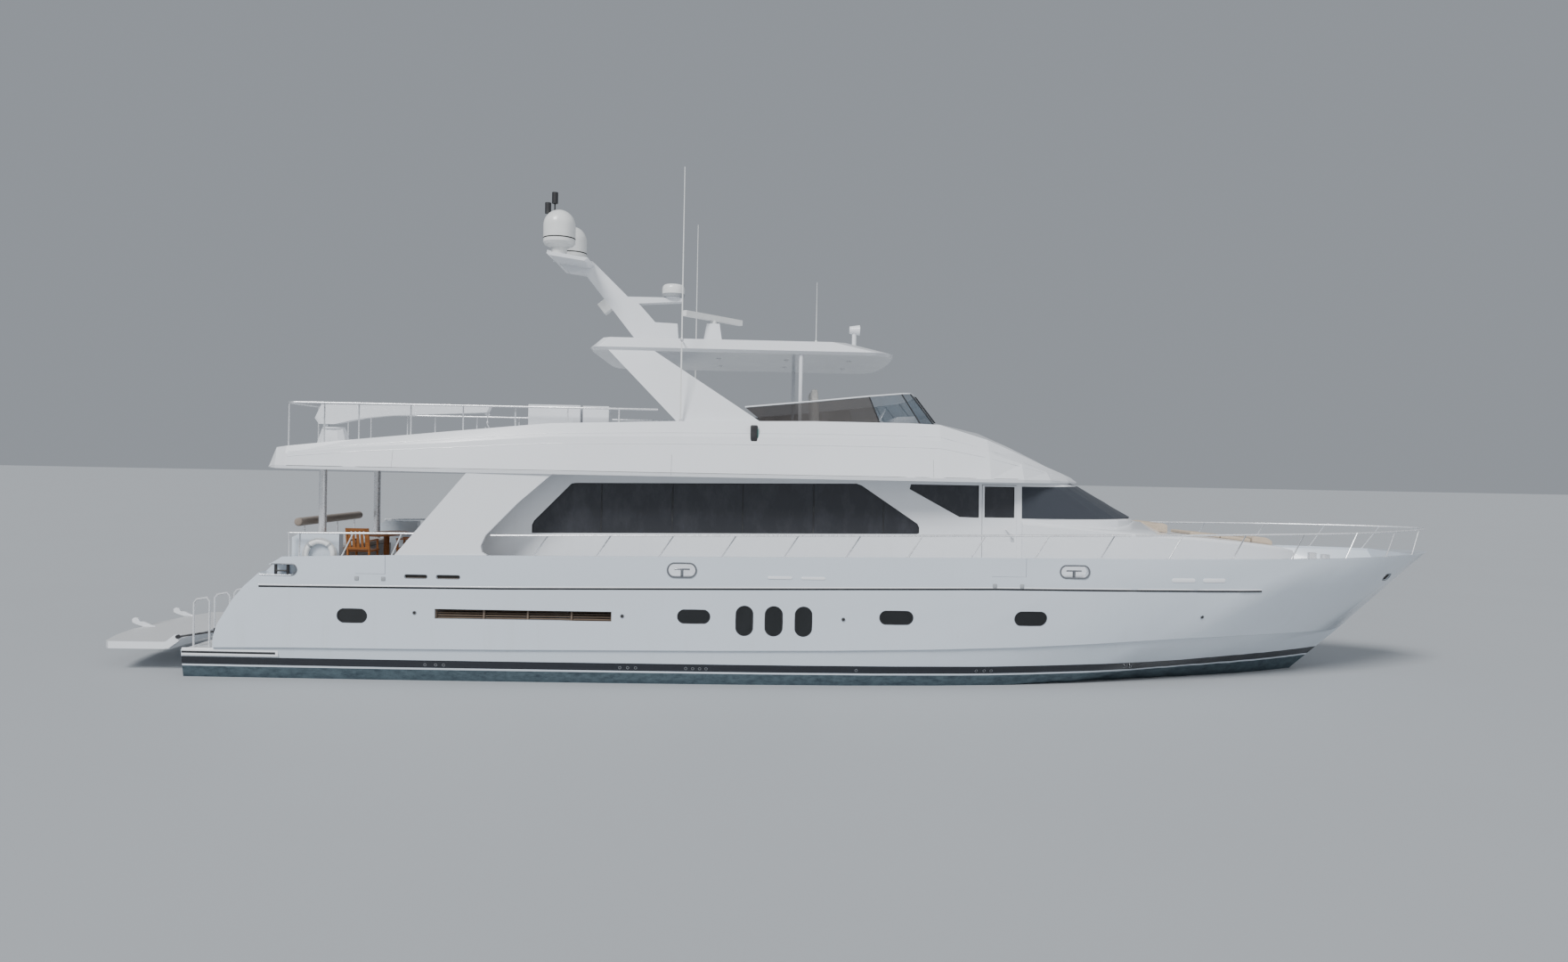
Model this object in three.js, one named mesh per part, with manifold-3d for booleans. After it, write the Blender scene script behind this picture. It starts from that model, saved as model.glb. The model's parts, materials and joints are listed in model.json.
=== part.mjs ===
// A raised-pilothouse motor yacht of about 31 metres, afloat.
// Millimetres. +X runs forward to the bow, +Y to port, +Z up.
// The origin is on the centreline at the water's surface, amidships.

import * as THREE from 'three';
import { LoftGeometry } from 'three/addons/geometries/LoftGeometry.js';
import { mergeVertices } from 'three/addons/utils/BufferGeometryUtils.js';
import Module from 'manifold-3d';

const wasm = await Module();
wasm.setup();

// Driving dimensions

const SEAT_GAP = 0.3;
const TRANSOM_X = -13600;
const STERN_DECK_Z = 600;
const BULWARK_THICKNESS = 120;
const WELL_AFT_X = -11300;
const WELL_FORE_X = 14700;
const WELL_TOP_Z = 3300;
const SOFFIT_Z = 4530;
const DECKHOUSE_AFT_X = -7400;
const SHOULDER_X = 4700;
const WALL = 80;
const HARDTOP_SOFFIT_Z = 7330;
const STAIR_INNER_Y = 1950;
const STAIR_OUTER_Y = 2560;
const SHAFT_Y = 1300;
const SHAFT_TILT = THREE.MathUtils.degToRad(8);
const PROPELLER_X = -11400;
const PROPELLER_Z = -1150;
const RUDDER_X = -12550;
const CRANE_X = -11000;
const CRANE_Y = -1400;

// Finishes

const finish = (color, roughness, metalness = 0) =>
  new THREE.MeshStandardMaterial({ color, roughness, metalness });

const gelcoat = finish(0xe6e8ea, 0.25);
const hullPaint = finish(0xdfe3e8, 0.25);
const tintedGlass = finish(0x1b2024, 0.08);
const stainless = finish(0xc9ccd0, 0.2, 1);
const bronze = finish(0x8a6a3c, 0.35, 1);
const darkMetal = finish(0x22252a, 0.5, 0.6);
const engineGrey = finish(0x9a9da0, 0.5, 0.3);
const teak = finish(0x9c5a24, 0.6);
const cushion = finish(0xc9b79c, 0.9);
const plastic = finish(0xeceeee, 0.35);

// Solids and booleans

function solid(geometry) {
  const plain = new THREE.BufferGeometry().copy(geometry);
  plain.deleteAttribute('normal');
  plain.deleteAttribute('uv');
  const merged = mergeVertices(plain, 1e-3);
  const index = Array.from(merged.index.array);
  const kept = [];
  for (let i = 0; i < index.length; i += 3) {
    const [a, b, c] = [index[i], index[i + 1], index[i + 2]];
    if (a !== b && b !== c && c !== a) kept.push(a, b, c);
  }
  const vertProperties = new Float32Array(merged.attributes.position.array);
  const body = new wasm.Manifold(new wasm.Mesh({
    numProp: 3, vertProperties, triVerts: new Uint32Array(kept),
  }));
  if (body.volume() >= 0) return body;
  kept.reverse();
  return new wasm.Manifold(new wasm.Mesh({
    numProp: 3, vertProperties, triVerts: new Uint32Array(kept),
  }));
}

function geometryOf(body) {
  const mesh = body.getMesh();
  const geometry = new THREE.BufferGeometry();
  geometry.setAttribute('position', new THREE.BufferAttribute(new Float32Array(mesh.vertProperties), 3));
  geometry.setIndex(new THREE.BufferAttribute(new Uint32Array(mesh.triVerts), 1));
  geometry.computeVertexNormals();
  return geometry;
}

const cut = (base, ...tools) =>
  geometryOf(tools.reduce((body, tool) => body.subtract(solid(tool)), solid(base)));

const join = (...parts) =>
  geometryOf(parts.slice(1).reduce((body, part) => body.add(solid(part)), solid(parts[0])));

const common = (a, b) => geometryOf(solid(a).intersect(solid(b)));

function mirrored(geometry) {
  const copy = geometryOf(solid(geometry));
  copy.applyMatrix4(new THREE.Matrix4().makeScale(1, -1, 1));
  copy.index.array.reverse();
  copy.computeVertexNormals();
  return copy;
}

const moved = (geometry, x, y, z) => new THREE.BufferGeometry().copy(geometry).translate(x, y, z);

// Plain shapes

const V = (x, y, z) => new THREE.Vector3(x, y, z);

function box(x0, x1, y0, y1, z0, z1) {
  const geometry = new THREE.BoxGeometry(x1 - x0, y1 - y0, z1 - z0);
  return geometry.translate((x0 + x1) / 2, (y0 + y1) / 2, (z0 + z1) / 2);
}

function prism(points, depth) {
  const shape = new THREE.Shape(points.map(([u, v]) => new THREE.Vector2(u, v)));
  return new THREE.ExtrudeGeometry(shape, { depth, bevelEnabled: false, curveSegments: 6 });
}

// An outline of x, z points with its thickness along Y.
const plateXZ = (points, y0, y1) => prism(points, y1 - y0).rotateX(Math.PI / 2).translate(0, y1, 0);

// An outline of x, y points with its thickness along Z.
const plateXY = (points, z0, z1) => prism(points, z1 - z0).translate(0, 0, z0);

// An outline of y, z points with its thickness along X.
const plateYZ = (points, x0, x1) => prism(points, x1 - x0)
  .applyMatrix4(new THREE.Matrix4().makeBasis(V(0, 1, 0), V(0, 0, 1), V(1, 0, 0)))
  .translate(x0, 0, 0);

function rod(from, to, radius, sides = 8, endRadius = radius) {
  const along = to.clone().sub(from);
  const geometry = new THREE.CylinderGeometry(endRadius, radius, along.length(), sides);
  geometry.applyQuaternion(new THREE.Quaternion().setFromUnitVectors(V(0, 1, 0), along.normalize()));
  const middle = from.clone().add(to).multiplyScalar(0.5);
  return geometry.translate(middle.x, middle.y, middle.z);
}

// Rings run anticlockwise seen from the loft's far end, so others are turned round.
function loft(rings) {
  const centre = (ring) => ring.reduce((sum, p) => sum.add(p), V(0, 0, 0)).divideScalar(ring.length);
  const [start, next] = [centre(rings[0]), centre(rings[1])];
  const area = V(0, 0, 0);
  rings[0].forEach((p, i) => {
    const q = rings[0][(i + 1) % rings[0].length];
    area.add(p.clone().sub(start).cross(q.clone().sub(start)));
  });
  const turned = area.dot(next.sub(start)) < 0;
  const ordered = turned ? rings.map((ring) => [...ring].reverse()) : rings;
  return new LoftGeometry(ordered, { capStart: true, capEnd: true });
}

// A tube through points, mitred at each bend.
function pipe(points, radius, sides = 6) {
  const last = points.length - 1;
  const heading = (i) => points[i + 1].clone().sub(points[i]).normalize();
  const rings = points.map((at, i) => {
    const before = heading(Math.max(i - 1, 0));
    const after = heading(Math.min(i, last - 1));
    const along = before.clone().add(after).normalize();
    const stretch = 1 / Math.max(along.dot(after), 0.5);
    const side = V(0, 0, 1).cross(along).normalize();
    if (side.length() < 0.5 || Math.abs(along.z) > 0.9) side.set(0, 1, 0);
    const up = along.clone().cross(side).normalize();
    const level = Math.abs(before.z - after.z) < 0.05;
    return Array.from({ length: sides }, (_, k) => {
      const angle = (2 * Math.PI * (k + 0.5)) / sides;
      const across = radius * Math.cos(angle) * (level ? stretch : 1);
      const over = radius * Math.sin(angle) * (level ? 1 : stretch);
      return at.clone().addScaledVector(side, across).addScaledVector(up, over);
    });
  });
  return loft(rings);
}

function stadium(x0, x1, z0, z1, steps = 4) {
  const radius = (z1 - z0) / 2;
  const middle = (z0 + z1) / 2;
  const points = [];
  for (let i = 0; i <= steps; i += 1) {
    const angle = -Math.PI / 2 + (Math.PI * i) / steps;
    points.push([x1 - radius + radius * Math.cos(angle), middle + radius * Math.sin(angle)]);
  }
  for (let i = 0; i <= steps; i += 1) {
    const angle = Math.PI / 2 + (Math.PI * i) / steps;
    points.push([x0 + radius + radius * Math.cos(angle), middle + radius * Math.sin(angle)]);
  }
  return points;
}

// A fair curve through knots [x, a, b, ...], read at x.
function fair(knots, x) {
  const last = knots.length - 1;
  if (x <= knots[0][0]) return knots[0].slice(1);
  if (x >= knots[last][0]) return knots[last].slice(1);
  const i = knots.findIndex((knot) => knot[0] > x) - 1;
  const [p, q] = [knots[i], knots[i + 1]];
  const before = knots[Math.max(i - 1, 0)];
  const after = knots[Math.min(i + 2, last)];
  const span = q[0] - p[0];
  const t = (x - p[0]) / span;
  return p.slice(1).map((value, k) => {
    const slopeP = (q[k + 1] - before[k + 1]) / (q[0] - before[0]);
    const slopeQ = (after[k + 1] - p[k + 1]) / (after[0] - p[0]);
    const t2 = t * t;
    const t3 = t2 * t;
    return value * (2 * t3 - 3 * t2 + 1) + q[k + 1] * (3 * t2 - 2 * t3)
      + slopeP * span * (t3 - 2 * t2 + t) + slopeQ * span * (t3 - t2);
  });
}

// The object and its pieces

const yacht = new THREE.Group();
yacht.name = 'motor_yacht';

function piece(name, geometry, material, place = [0, 0, 0]) {
  const mesh = new THREE.Mesh(geometry, material);
  mesh.name = name;
  mesh.position.set(...place);
  yacht.add(mesh);
  return mesh;
}

function pair(name, geometry, material) {
  piece(`${name}_starboard`, geometry, material);
  piece(`${name}_port`, mirrored(geometry), material);
}

// Hull lines: x, half breadth, height. Each line's last knot lies on the stem.

const KEEL = [
  [-13600, 30, -700], [-10000, 30, -850], [-6000, 30, -1000], [-2000, 30, -1080], [2000, 30, -1120],
  [6000, 30, -1130], [8500, 30, -1060], [10000, 30, -860], [11000, 30, -620], [11800, 30, -350],
];
const BILGE = [
  [-13600, 1400, -470], [-8000, 1450, -640], [-3000, 1450, -700], [1000, 1440, -700], [4000, 1400, -650],
  [6000, 1350, -560], [8140, 1150, -400], [10000, 850, -200], [11200, 470, -50], [12250, 35, 50],
];
const CHINE = [
  [-13600, 2780, -150], [-8000, 2900, -200], [-3000, 2930, -200], [1000, 2860, -140], [4000, 2660, -20],
  [6000, 2440, 140], [8140, 2060, 420], [10000, 1560, 660], [11500, 1010, 830], [12700, 430, 930],
  [13350, 40, 960],
];
const KNUCKLE = [
  [-13600, 2930, 640], [-11400, 3010, 680], [-7700, 3090, 700], [-1760, 3130, 760], [1740, 3120, 820],
  [4330, 3020, 890], [6500, 2800, 980], [8000, 2550, 1050], [10000, 2060, 1090], [11500, 1480, 1090],
  [12760, 760, 1080], [13450, 42, 1050],
];
const RUB = [
  [-13600, 2960, 1990], [-11900, 3070, 2010], [-9000, 3170, 2035], [-6750, 3210, 2050], [-630, 3250, 2140],
  [4030, 3240, 2210], [7320, 3100, 2210], [10120, 2740, 2200], [11500, 2360, 2200], [12800, 1780, 2195],
  [13900, 1020, 2190], [14720, 50, 2190],
];
const SHEER = [
  [-13600, 2900, 2560], [-11410, 3040, 2650], [-8950, 3180, 2730], [-6760, 3220, 2760], [-640, 3260, 2830],
  [3820, 3250, 2890], [7870, 3100, 2910], [9700, 2880, 2925], [11100, 2660, 2930], [12600, 2230, 2940],
  [13850, 1600, 2955], [15100, 720, 2970], [15640, 60, 2980],
];
const KNUCKLE_STEP = 45;
const HULL_STATIONS = [
  0, 0.08, 0.16, 0.25, 0.34, 0.43, 0.52, 0.6, 0.67, 0.73, 0.78, 0.82, 0.86, 0.895, 0.925, 0.95, 0.97, 0.985, 1,
];

function onLine(line, share) {
  const tip = line[line.length - 1][0];
  const x = TRANSOM_X + share * (tip - TRANSOM_X);
  const [y, z] = fair(line, x);
  return [x, y, z];
}

function hullRing(share) {
  const side = [KEEL, BILGE, CHINE, KNUCKLE].map((line) => onLine(line, share));
  const [kx, ky, kz] = side[3];
  const step = KNUCKLE_STEP * Math.min(1, (1 - share) * 12);
  side.push([kx, ky + step + 2, kz + step * 0.3 + 4]);
  side.push(onLine(RUB, share), onLine(SHEER, share));
  const starboard = side.map(([x, y, z]) => V(x, -y, z));
  const port = side.map(([x, y, z]) => V(x, y, z)).reverse();
  return [...starboard, ...port];
}

const DECK = [[-13600, 2250], [-6500, 2250], [4000, 2440], [8000, 2500], [WELL_FORE_X, 2600]];
function deckZ(x) {
  const i = Math.max(1, DECK.findIndex((knot) => knot[0] >= x));
  const [[x0, z0], [x1, z1]] = [DECK[i - 1], DECK[i]];
  return z0 + ((x - x0) * (z1 - z0)) / (x1 - x0);
}
const sheerY = (x) => fair(SHEER, x)[0];

const STERN_PROFILE = [
  [-12900, STERN_DECK_Z], [-12880, 900], [-12800, 1160], [-12480, 1700], [-12230, 2000], [-11920, 2290],
  [-11750, 2460], [-11560, 2560], [-11410, 2660],
];

const hullBlank = loft(HULL_STATIONS.map(hullRing));
const hullFull = cut(hullBlank, plateXZ([
  [TRANSOM_X - 500, STERN_DECK_Z], ...STERN_PROFILE, [-11410, 3500], [TRANSOM_X - 500, 3500],
], -4000, 4000));

// Half breadth of the topsides between rub rail and sheer

function skinY(x, z) {
  const rise = (z - fair(RUB, x)[1]) / (fair(SHEER, x)[1] - fair(RUB, x)[1]);
  const tip = (line) => line[line.length - 1][0] - TRANSOM_X;
  const share = (x - TRANSOM_X) / (tip(RUB) + rise * (tip(SHEER) - tip(RUB)));
  const [, rubY] = onLine(RUB, share);
  const [, topY] = onLine(SHEER, share);
  return rubY + rise * (topY - rubY);
}

// The well is square at the deck and narrows there with the flare of the bow

const WELL_KNEE = 60;
function wellRing(x) {
  const top = sheerY(x) - BULWARK_THICKNESS;
  const z = deckZ(x);
  const foot = Math.min(top, skinY(x, z) - BULWARK_THICKNESS);
  const knee = fair(SHEER, x)[1] - WELL_KNEE;
  const side = [[foot, z], [top, knee], [top, WELL_TOP_Z]];
  return [...side.map(([y, h]) => V(x, y, h)), ...side.map(([y, h]) => V(x, -y, h)).reverse()];
}

const WELL_STATIONS = [
  WELL_AFT_X, -9000, -6500, -1000, 4000, 8000, 9000, 10000, 11300, 12400, 13300, 14100, WELL_FORE_X,
];
const deckWell = loft(WELL_STATIONS.map(wellRing));

// Stairs from the stern platform to the cockpit, one flight a side

const STAIR_STEPS = 6;
const STAIR_FOOT_X = -12880;
const stairRise = (deckZ(WELL_AFT_X) - STERN_DECK_Z) / STAIR_STEPS;
const stairRun = (WELL_AFT_X + 20 - STAIR_FOOT_X) / STAIR_STEPS;

function stairWell() {
  const outline = [[STAIR_FOOT_X - 400, STERN_DECK_Z]];
  for (let i = 0; i < STAIR_STEPS; i += 1) {
    const x = STAIR_FOOT_X + i * stairRun;
    outline.push([x, STERN_DECK_Z + i * stairRise]);
    outline.push([x, STERN_DECK_Z + (i + 1) * stairRise]);
  }
  outline.push([WELL_AFT_X + 20, deckZ(WELL_AFT_X)]);
  outline.push([WELL_AFT_X + 20, WELL_TOP_Z], [STAIR_FOOT_X - 400, WELL_TOP_Z]);
  return plateXZ(outline, -STAIR_OUTER_Y, -STAIR_INNER_Y);
}

// Engine room, open through the air intakes in the topsides

const INTAKE = { x0: -8120, x1: -4330, z0: 1380, z1: 1590 };
const ENGINE_ROOM = { x0: -9200, x1: -3800, y: 2400, z0: -180, z1: 1950 };
const engineRoom = box(
  ENGINE_ROOM.x0, ENGINE_ROOM.x1, -ENGINE_ROOM.y, ENGINE_ROOM.y, ENGINE_ROOM.z0, ENGINE_ROOM.z1,
);
const intakeSlot = box(INTAKE.x0, INTAKE.x1, -3600, 3600, INTAKE.z0, INTAKE.z1);

// Fairleads through the bulwark: x0, x1, z0, z1

const FAIRLEADS = [
  [-11930, -11100, 2270, 2480],
  [-3130, -2530, 2370, 2660],
  [5420, 6050, 2480, 2740],
];
const fairlead = ([x0, x1, z0, z1]) => plateXZ(stadium(x0, x1, z0, z1), -3600, -2700);

// Boarding gates in the bulwark: name, x0, x1, sill height

const GATES = [
  { name: 'aft_gate', x0: -9820, x1: -9180, sill: 2320 },
  { name: 'forward_gate', x0: 3900, x1: 4660, sill: 2480 },
];
const GATE_THICK = 60;
const GATE_GAP = 8.5;
const gateSlot = (gate) => box(gate.x0, gate.x1, -3600, -2900, gate.sill, WELL_TOP_Z);
const gateBlank = (gate) => box(
  gate.x0 + 0.4, gate.x1 - GATE_GAP, -3600, -2900, gate.sill + 5, WELL_TOP_Z,
);

// Shaft line

const shaftPoint = (x) => V(x, -SHAFT_Y, PROPELLER_Z + (x - PROPELLER_X) * Math.tan(SHAFT_TILT));
const SHAFT_RADIUS = 50;
const SHAFT_FORE_X = -7700;
const shaftBore = rod(shaftPoint(-9700), shaftPoint(SHAFT_FORE_X + 60), SHAFT_RADIUS + 10, 12);

// Rudder stock

const STOCK_RADIUS = 50;
const RUDDER_TOP_Z = -620;
const stockBore = rod(V(RUDDER_X, -SHAFT_Y, -900), V(RUDDER_X, -SHAFT_Y, -150), STOCK_RADIUS + 0.8, 24);

const bothSides = (...parts) => parts.flatMap((part) => [part, mirrored(part)]);

// Gate leaves are the outer skin of the bulwark, hinged at their aft edge.

const hullInDeck = cut(hullFull, deckWell);
for (const gate of GATES) {
  pair(gate.name, cut(common(hullInDeck, gateBlank(gate)), moved(hullFull, 0, GATE_THICK, 0)), hullPaint);
}

// Engines: one plain block a side on its bed

const ENGINE = { length: 2500, width: 1250, height: 1350, x: -8400 };
pair('engine', box(
  ENGINE.x, ENGINE.x + ENGINE.length,
  -SHAFT_Y - ENGINE.width / 2, -SHAFT_Y + ENGINE.width / 2,
  ENGINE_ROOM.z0 + SEAT_GAP, ENGINE_ROOM.z0 + ENGINE.height,
), engineGrey);

// Louvred air intakes

const LOUVRES = 4;
const INTAKE_UPRIGHTS = [-7100, -6160, -5220];
function intakeGrille() {
  const [x0, x1] = [INTAKE.x0 - 5, INTAKE.x1 + 5];
  const height = INTAKE.z1 - INTAKE.z0;
  const parts = [];
  for (const x of [x0, ...INTAKE_UPRIGHTS, x1 - 35]) {
    parts.push(box(x, x + 35, -3110, -3040, INTAKE.z0 - 5, INTAKE.z1 + 5));
  }
  for (let i = 0; i < LOUVRES; i += 1) {
    const z = INTAKE.z0 + ((i + 0.5) * height) / LOUVRES;
    parts.push(plateYZ([[-3095, z - 16], [-3085, z - 16], [-3045, z + 8], [-3055, z + 8]], x0 + 5, x1 - 5));
  }
  return join(...parts);
}

// Propeller with its shaft, strut and rudder

const PROPELLER_RADIUS = 480;
const BLADES = 5;

function propellerAndShaft() {
  const hub = rod(V(-170, 0, 0), V(170, 0, 0), 80, 12, 105);
  const cap = rod(V(-290, 0, 0), V(-165, 0, 0), 30, 12, 80);
  const shaftLength = (SHAFT_FORE_X - PROPELLER_X) / Math.cos(SHAFT_TILT);
  const shaft = rod(V(150, 0, 0), V(shaftLength, 0, 0), SHAFT_RADIUS, 12);
  const parts = [hub, cap, shaft];
  for (let i = 0; i < BLADES; i += 1) {
    const outline = [
      [-80, 60], [80, 60], [190, 220], [200, 340], [120, 450], [0, PROPELLER_RADIUS], [-120, 440], [-160, 320],
      [-150, 200],
    ];
    const blade = plateXZ(outline, -12, 12);
    blade.rotateZ(THREE.MathUtils.degToRad(55));
    blade.rotateX((2 * Math.PI * i) / BLADES);
    parts.push(blade);
  }
  const whole = join(...parts);
  whole.rotateY(-SHAFT_TILT);
  return whole.translate(PROPELLER_X, -SHAFT_Y, PROPELLER_Z);
}
pair('propeller', propellerAndShaft(), bronze);

const STRUT_X = -10900;
const STRUT_BOSS_RADIUS = 95;
const STRUT_TOP_Z = -520;
function strut() {
  const boss = rod(shaftPoint(STRUT_X - 170), shaftPoint(STRUT_X + 170), STRUT_BOSS_RADIUS, 12);
  const centre = shaftPoint(STRUT_X);
  const arms = [-230, 230].map((reach) => {
    const foot = [V(STRUT_X - 120, centre.y, centre.z + 40), V(STRUT_X + 120, centre.y, centre.z + 40)];
    const top = [
      V(STRUT_X - 150, centre.y + reach, STRUT_TOP_Z + 400), V(STRUT_X + 150, centre.y + reach, STRUT_TOP_Z + 400),
    ];
    const across = 16;
    const ring = ([a, b]) => [
      V(a.x, a.y - across, a.z), V(b.x, b.y - across, b.z), V(b.x, b.y + across, b.z), V(a.x, a.y + across, a.z),
    ];
    return loft([ring(foot), ring(top)]);
  });
  const bore = rod(shaftPoint(STRUT_X - 400), shaftPoint(STRUT_X + 400), SHAFT_RADIUS + 0.8, 24);
  return cut(join(boss, ...arms), bore);
}

const RUDDER_BOTTOM_Z = -1600;
function rudder() {
  const blade = plateXY([[-420, 0], [-200, 40], [60, 45], [170, 20], [190, 0], [170, -20], [60, -45], [-200, -40]],
    RUDDER_BOTTOM_Z, RUDDER_TOP_Z);
  const stock = rod(V(0, 0, RUDDER_TOP_Z - 40), V(0, 0, -170), STOCK_RADIUS, 12);
  return join(blade, stock).translate(RUDDER_X, -SHAFT_Y, 0);
}
pair('rudder', rudder(), bronze);

// Lifting stern platform with tender chocks, on its pair of link arms a side

const PLATFORM = { aft: -15950, fore: -14150, y: 2350, z0: 500, z1: 660 };
const ARM_ROOT = { x: -13080, z: 930 };
const ARM_TIP = { x: -13930, z: 790 };
const ARM_Y = 2420;
const ARM_HALF_EYE = 30;
const CHOCKS = [-200, 1600];

function liftPlatform() {
  const { aft, fore, y, z0, z1 } = PLATFORM;
  const deck = plateXY([
    [fore, -y], [fore, y], [aft + 470, y], [aft + 360, y - 100], [aft + 120, y - 900], [aft, y - 1700],
    [aft, 1700 - y], [aft + 120, 900 - y], [aft + 360, 100 - y], [aft + 470, -y],
  ], z0, z1);
  const chock = plateXZ([
    [aft + 20, z1 - 5], [aft + 330, z1 - 5], [aft + 200, z1 + 30], [aft + 20, z1 + 110], [aft - 60, z1 + 110],
    [aft - 110, z1 + 190], [aft - 190, z1 + 210], [aft - 250, z1 + 170], [aft - 240, z1 + 90], [aft - 150, z1 + 50],
  ], -30, 30);
  const chocks = CHOCKS.map((at) => moved(chock, 0, at, 0));
  const ears = [-1, 1].map((side) => {
    const lug = plateXZ([
      [ARM_TIP.x - 330, z0 + 20], [ARM_TIP.x - 230, z0 + 20], [ARM_TIP.x + 60, ARM_TIP.z - 60],
      [ARM_TIP.x + 60, ARM_TIP.z + 40], [ARM_TIP.x - 90, ARM_TIP.z + 40], [ARM_TIP.x - 330, z1 - 20],
    ], -25, 25);
    return moved(lug, 0, side * (ARM_Y - ARM_HALF_EYE - 25), 0);
  });
  return join(deck, ...chocks, ...ears);
}
piece('lift_platform', liftPlatform(), gelcoat);

function liftArm() {
  const from = V(ARM_ROOT.x, -ARM_Y, ARM_ROOT.z);
  const to = V(ARM_TIP.x, -ARM_Y, ARM_TIP.z);
  const bar = rod(from, to, 22, 8);
  const reach = ARM_HALF_EYE - SEAT_GAP;
  const eyes = [from, to].map((at) => rod(V(at.x, at.y - reach, at.z), V(at.x, at.y + reach, at.z), 45, 12));
  return join(bar, ...eyes);
}
pair('lift_arm', liftArm(), darkMetal);

function liftBracket() {
  return plateXZ([
    [ARM_ROOT.x - 60, STERN_DECK_Z - 20], [ARM_ROOT.x + 100, STERN_DECK_Z - 20],
    [ARM_ROOT.x + 60, ARM_ROOT.z + 70], [ARM_ROOT.x - 50, ARM_ROOT.z + 70],
  ], -ARM_Y - ARM_HALF_EYE - 34, -ARM_Y - ARM_HALF_EYE);
}

// Slots that let the link arms swing down through the stern deck
const ARM_SLOT = { aft: TRANSOM_X - 50, fore: -13290, halfWidth: 27.5, z0: 100 };
const armSlot = box(
  ARM_SLOT.aft, ARM_SLOT.fore, -ARM_Y - ARM_SLOT.halfWidth, -ARM_Y + ARM_SLOT.halfWidth, ARM_SLOT.z0, STERN_DECK_Z + 100,
);

// Stainless hoops on the stern deck

const HOOPS = [-2540, -1650, -750, 750, 1650, 2540];
const hoop = (y) => pipe([
  V(-13530, y, STERN_DECK_Z - 20), V(-13530, y, 1560), V(-13470, y, 1640), V(-13250, y, 1680),
  V(-13190, y, 1600), V(-13190, y, STERN_DECK_Z - 20),
], 22, 6);

// Deckhouse: side walls, aft bulkhead and the frame of the wheelhouse windows

// Plan outline: straight sides to the shoulder, then a full curve round the front.
function housePlan(sideY, shoulderY, frontX, z, inset = 0) {
  const steps = 8;
  const power = 2 / 2.5;
  const ring = [V(DECKHOUSE_AFT_X + inset, -sideY + inset, z)];
  for (let i = 0; i <= 2 * steps; i += 1) {
    const angle = -Math.PI / 2 + (Math.PI * i) / (2 * steps);
    const c = Math.cos(angle) ** power;
    const s = Math.sign(Math.sin(angle)) * Math.abs(Math.sin(angle)) ** power;
    ring.push(V(SHOULDER_X + (frontX - inset - SHOULDER_X) * c, (shoulderY - inset) * s, z));
  }
  ring.push(V(DECKHOUSE_AFT_X + inset, sideY - inset, z));
  return ring;
}

// Levels: z, side half breadth, half breadth at the shoulder, front x
const HOUSE_LEVELS = [
  [2200, 2450, 2420, 7950],
  [3680, 2393, 2344, 7950],
  [SOFFIT_Z - SEAT_GAP, 2360, 2300, 6350],
];
const houseSolid = (inset, grow = 0) => loft(HOUSE_LEVELS.map(
  ([z, side, shoulder, front]) => housePlan(side, shoulder, front, z + grow, inset),
));
const houseOuter = houseSolid(0);
const houseInner = join(houseSolid(WALL), loft([
  housePlan(2360, 2300, 6350, SOFFIT_Z - 50, WALL), housePlan(2360, 2300, 6350, SOFFIT_Z + 200, WALL),
]), loft([housePlan(2450, 2420, 7950, 2000, WALL), housePlan(2450, 2420, 7950, 2300, WALL)]));

const SALOON_WINDOW = [
  [-6230, 3210], [-6230, 3390], [-6190, 3480], [-5380, 4320], [-5300, 4340], [1000, 4440], [1120, 4400],
  [2390, 3560], [2430, 3480], [2430, 3350], [2380, 3330],
];
const QUARTER_WINDOW = [[2230, 4450], [2200, 4340], [3340, 3730], [3780, 3720], [3780, 4450]];
const DOOR = { x0: 3850, x1: 4640, z0: 2500, z1: 4470 };
const DOOR_WINDOW = { x0: 3910, x1: 4590, z0: 3730, z1: 4430 };
const WINDSCREEN = { x: 4760, z0: 3720, z1: 4440 };
const SALOON_DOOR = { y: 550, z0: 2300, z1: 4300 };

const sideSlot = (points) => [plateXZ(points, -3000, -2000), plateXZ(points, 2000, 3000)];
const doorSlot = box(DOOR.x0, DOOR.x1, -3000, -2000, DOOR.z0, DOOR.z1);
const doorBlank = box(DOOR.x0 + 9.5, DOOR.x1 - 0.4, -3000, -2000, DOOR.z0 + 5, DOOR.z1 - 9);

const screenPane = (gap) => box(
  WINDSCREEN.x + gap, 9000, -3000, 3000, WINDSCREEN.z0 + gap, WINDSCREEN.z1 - gap,
);

const houseShell = cut(cut(houseOuter, houseInner), moved(hullInDeck, 0, 0, SEAT_GAP));
const deckhouse = cut(
  houseShell,
  ...sideSlot(SALOON_WINDOW),
  ...sideSlot(QUARTER_WINDOW),
  ...bothSides(doorSlot),
  screenPane(0),
  box(DECKHOUSE_AFT_X - 200, DECKHOUSE_AFT_X + 200, -SALOON_DOOR.y, SALOON_DOOR.y, SALOON_DOOR.z0, SALOON_DOOR.z1),
);
piece('deckhouse', deckhouse, gelcoat);

// Glass lies a little inside the outer face of its wall.

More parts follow.
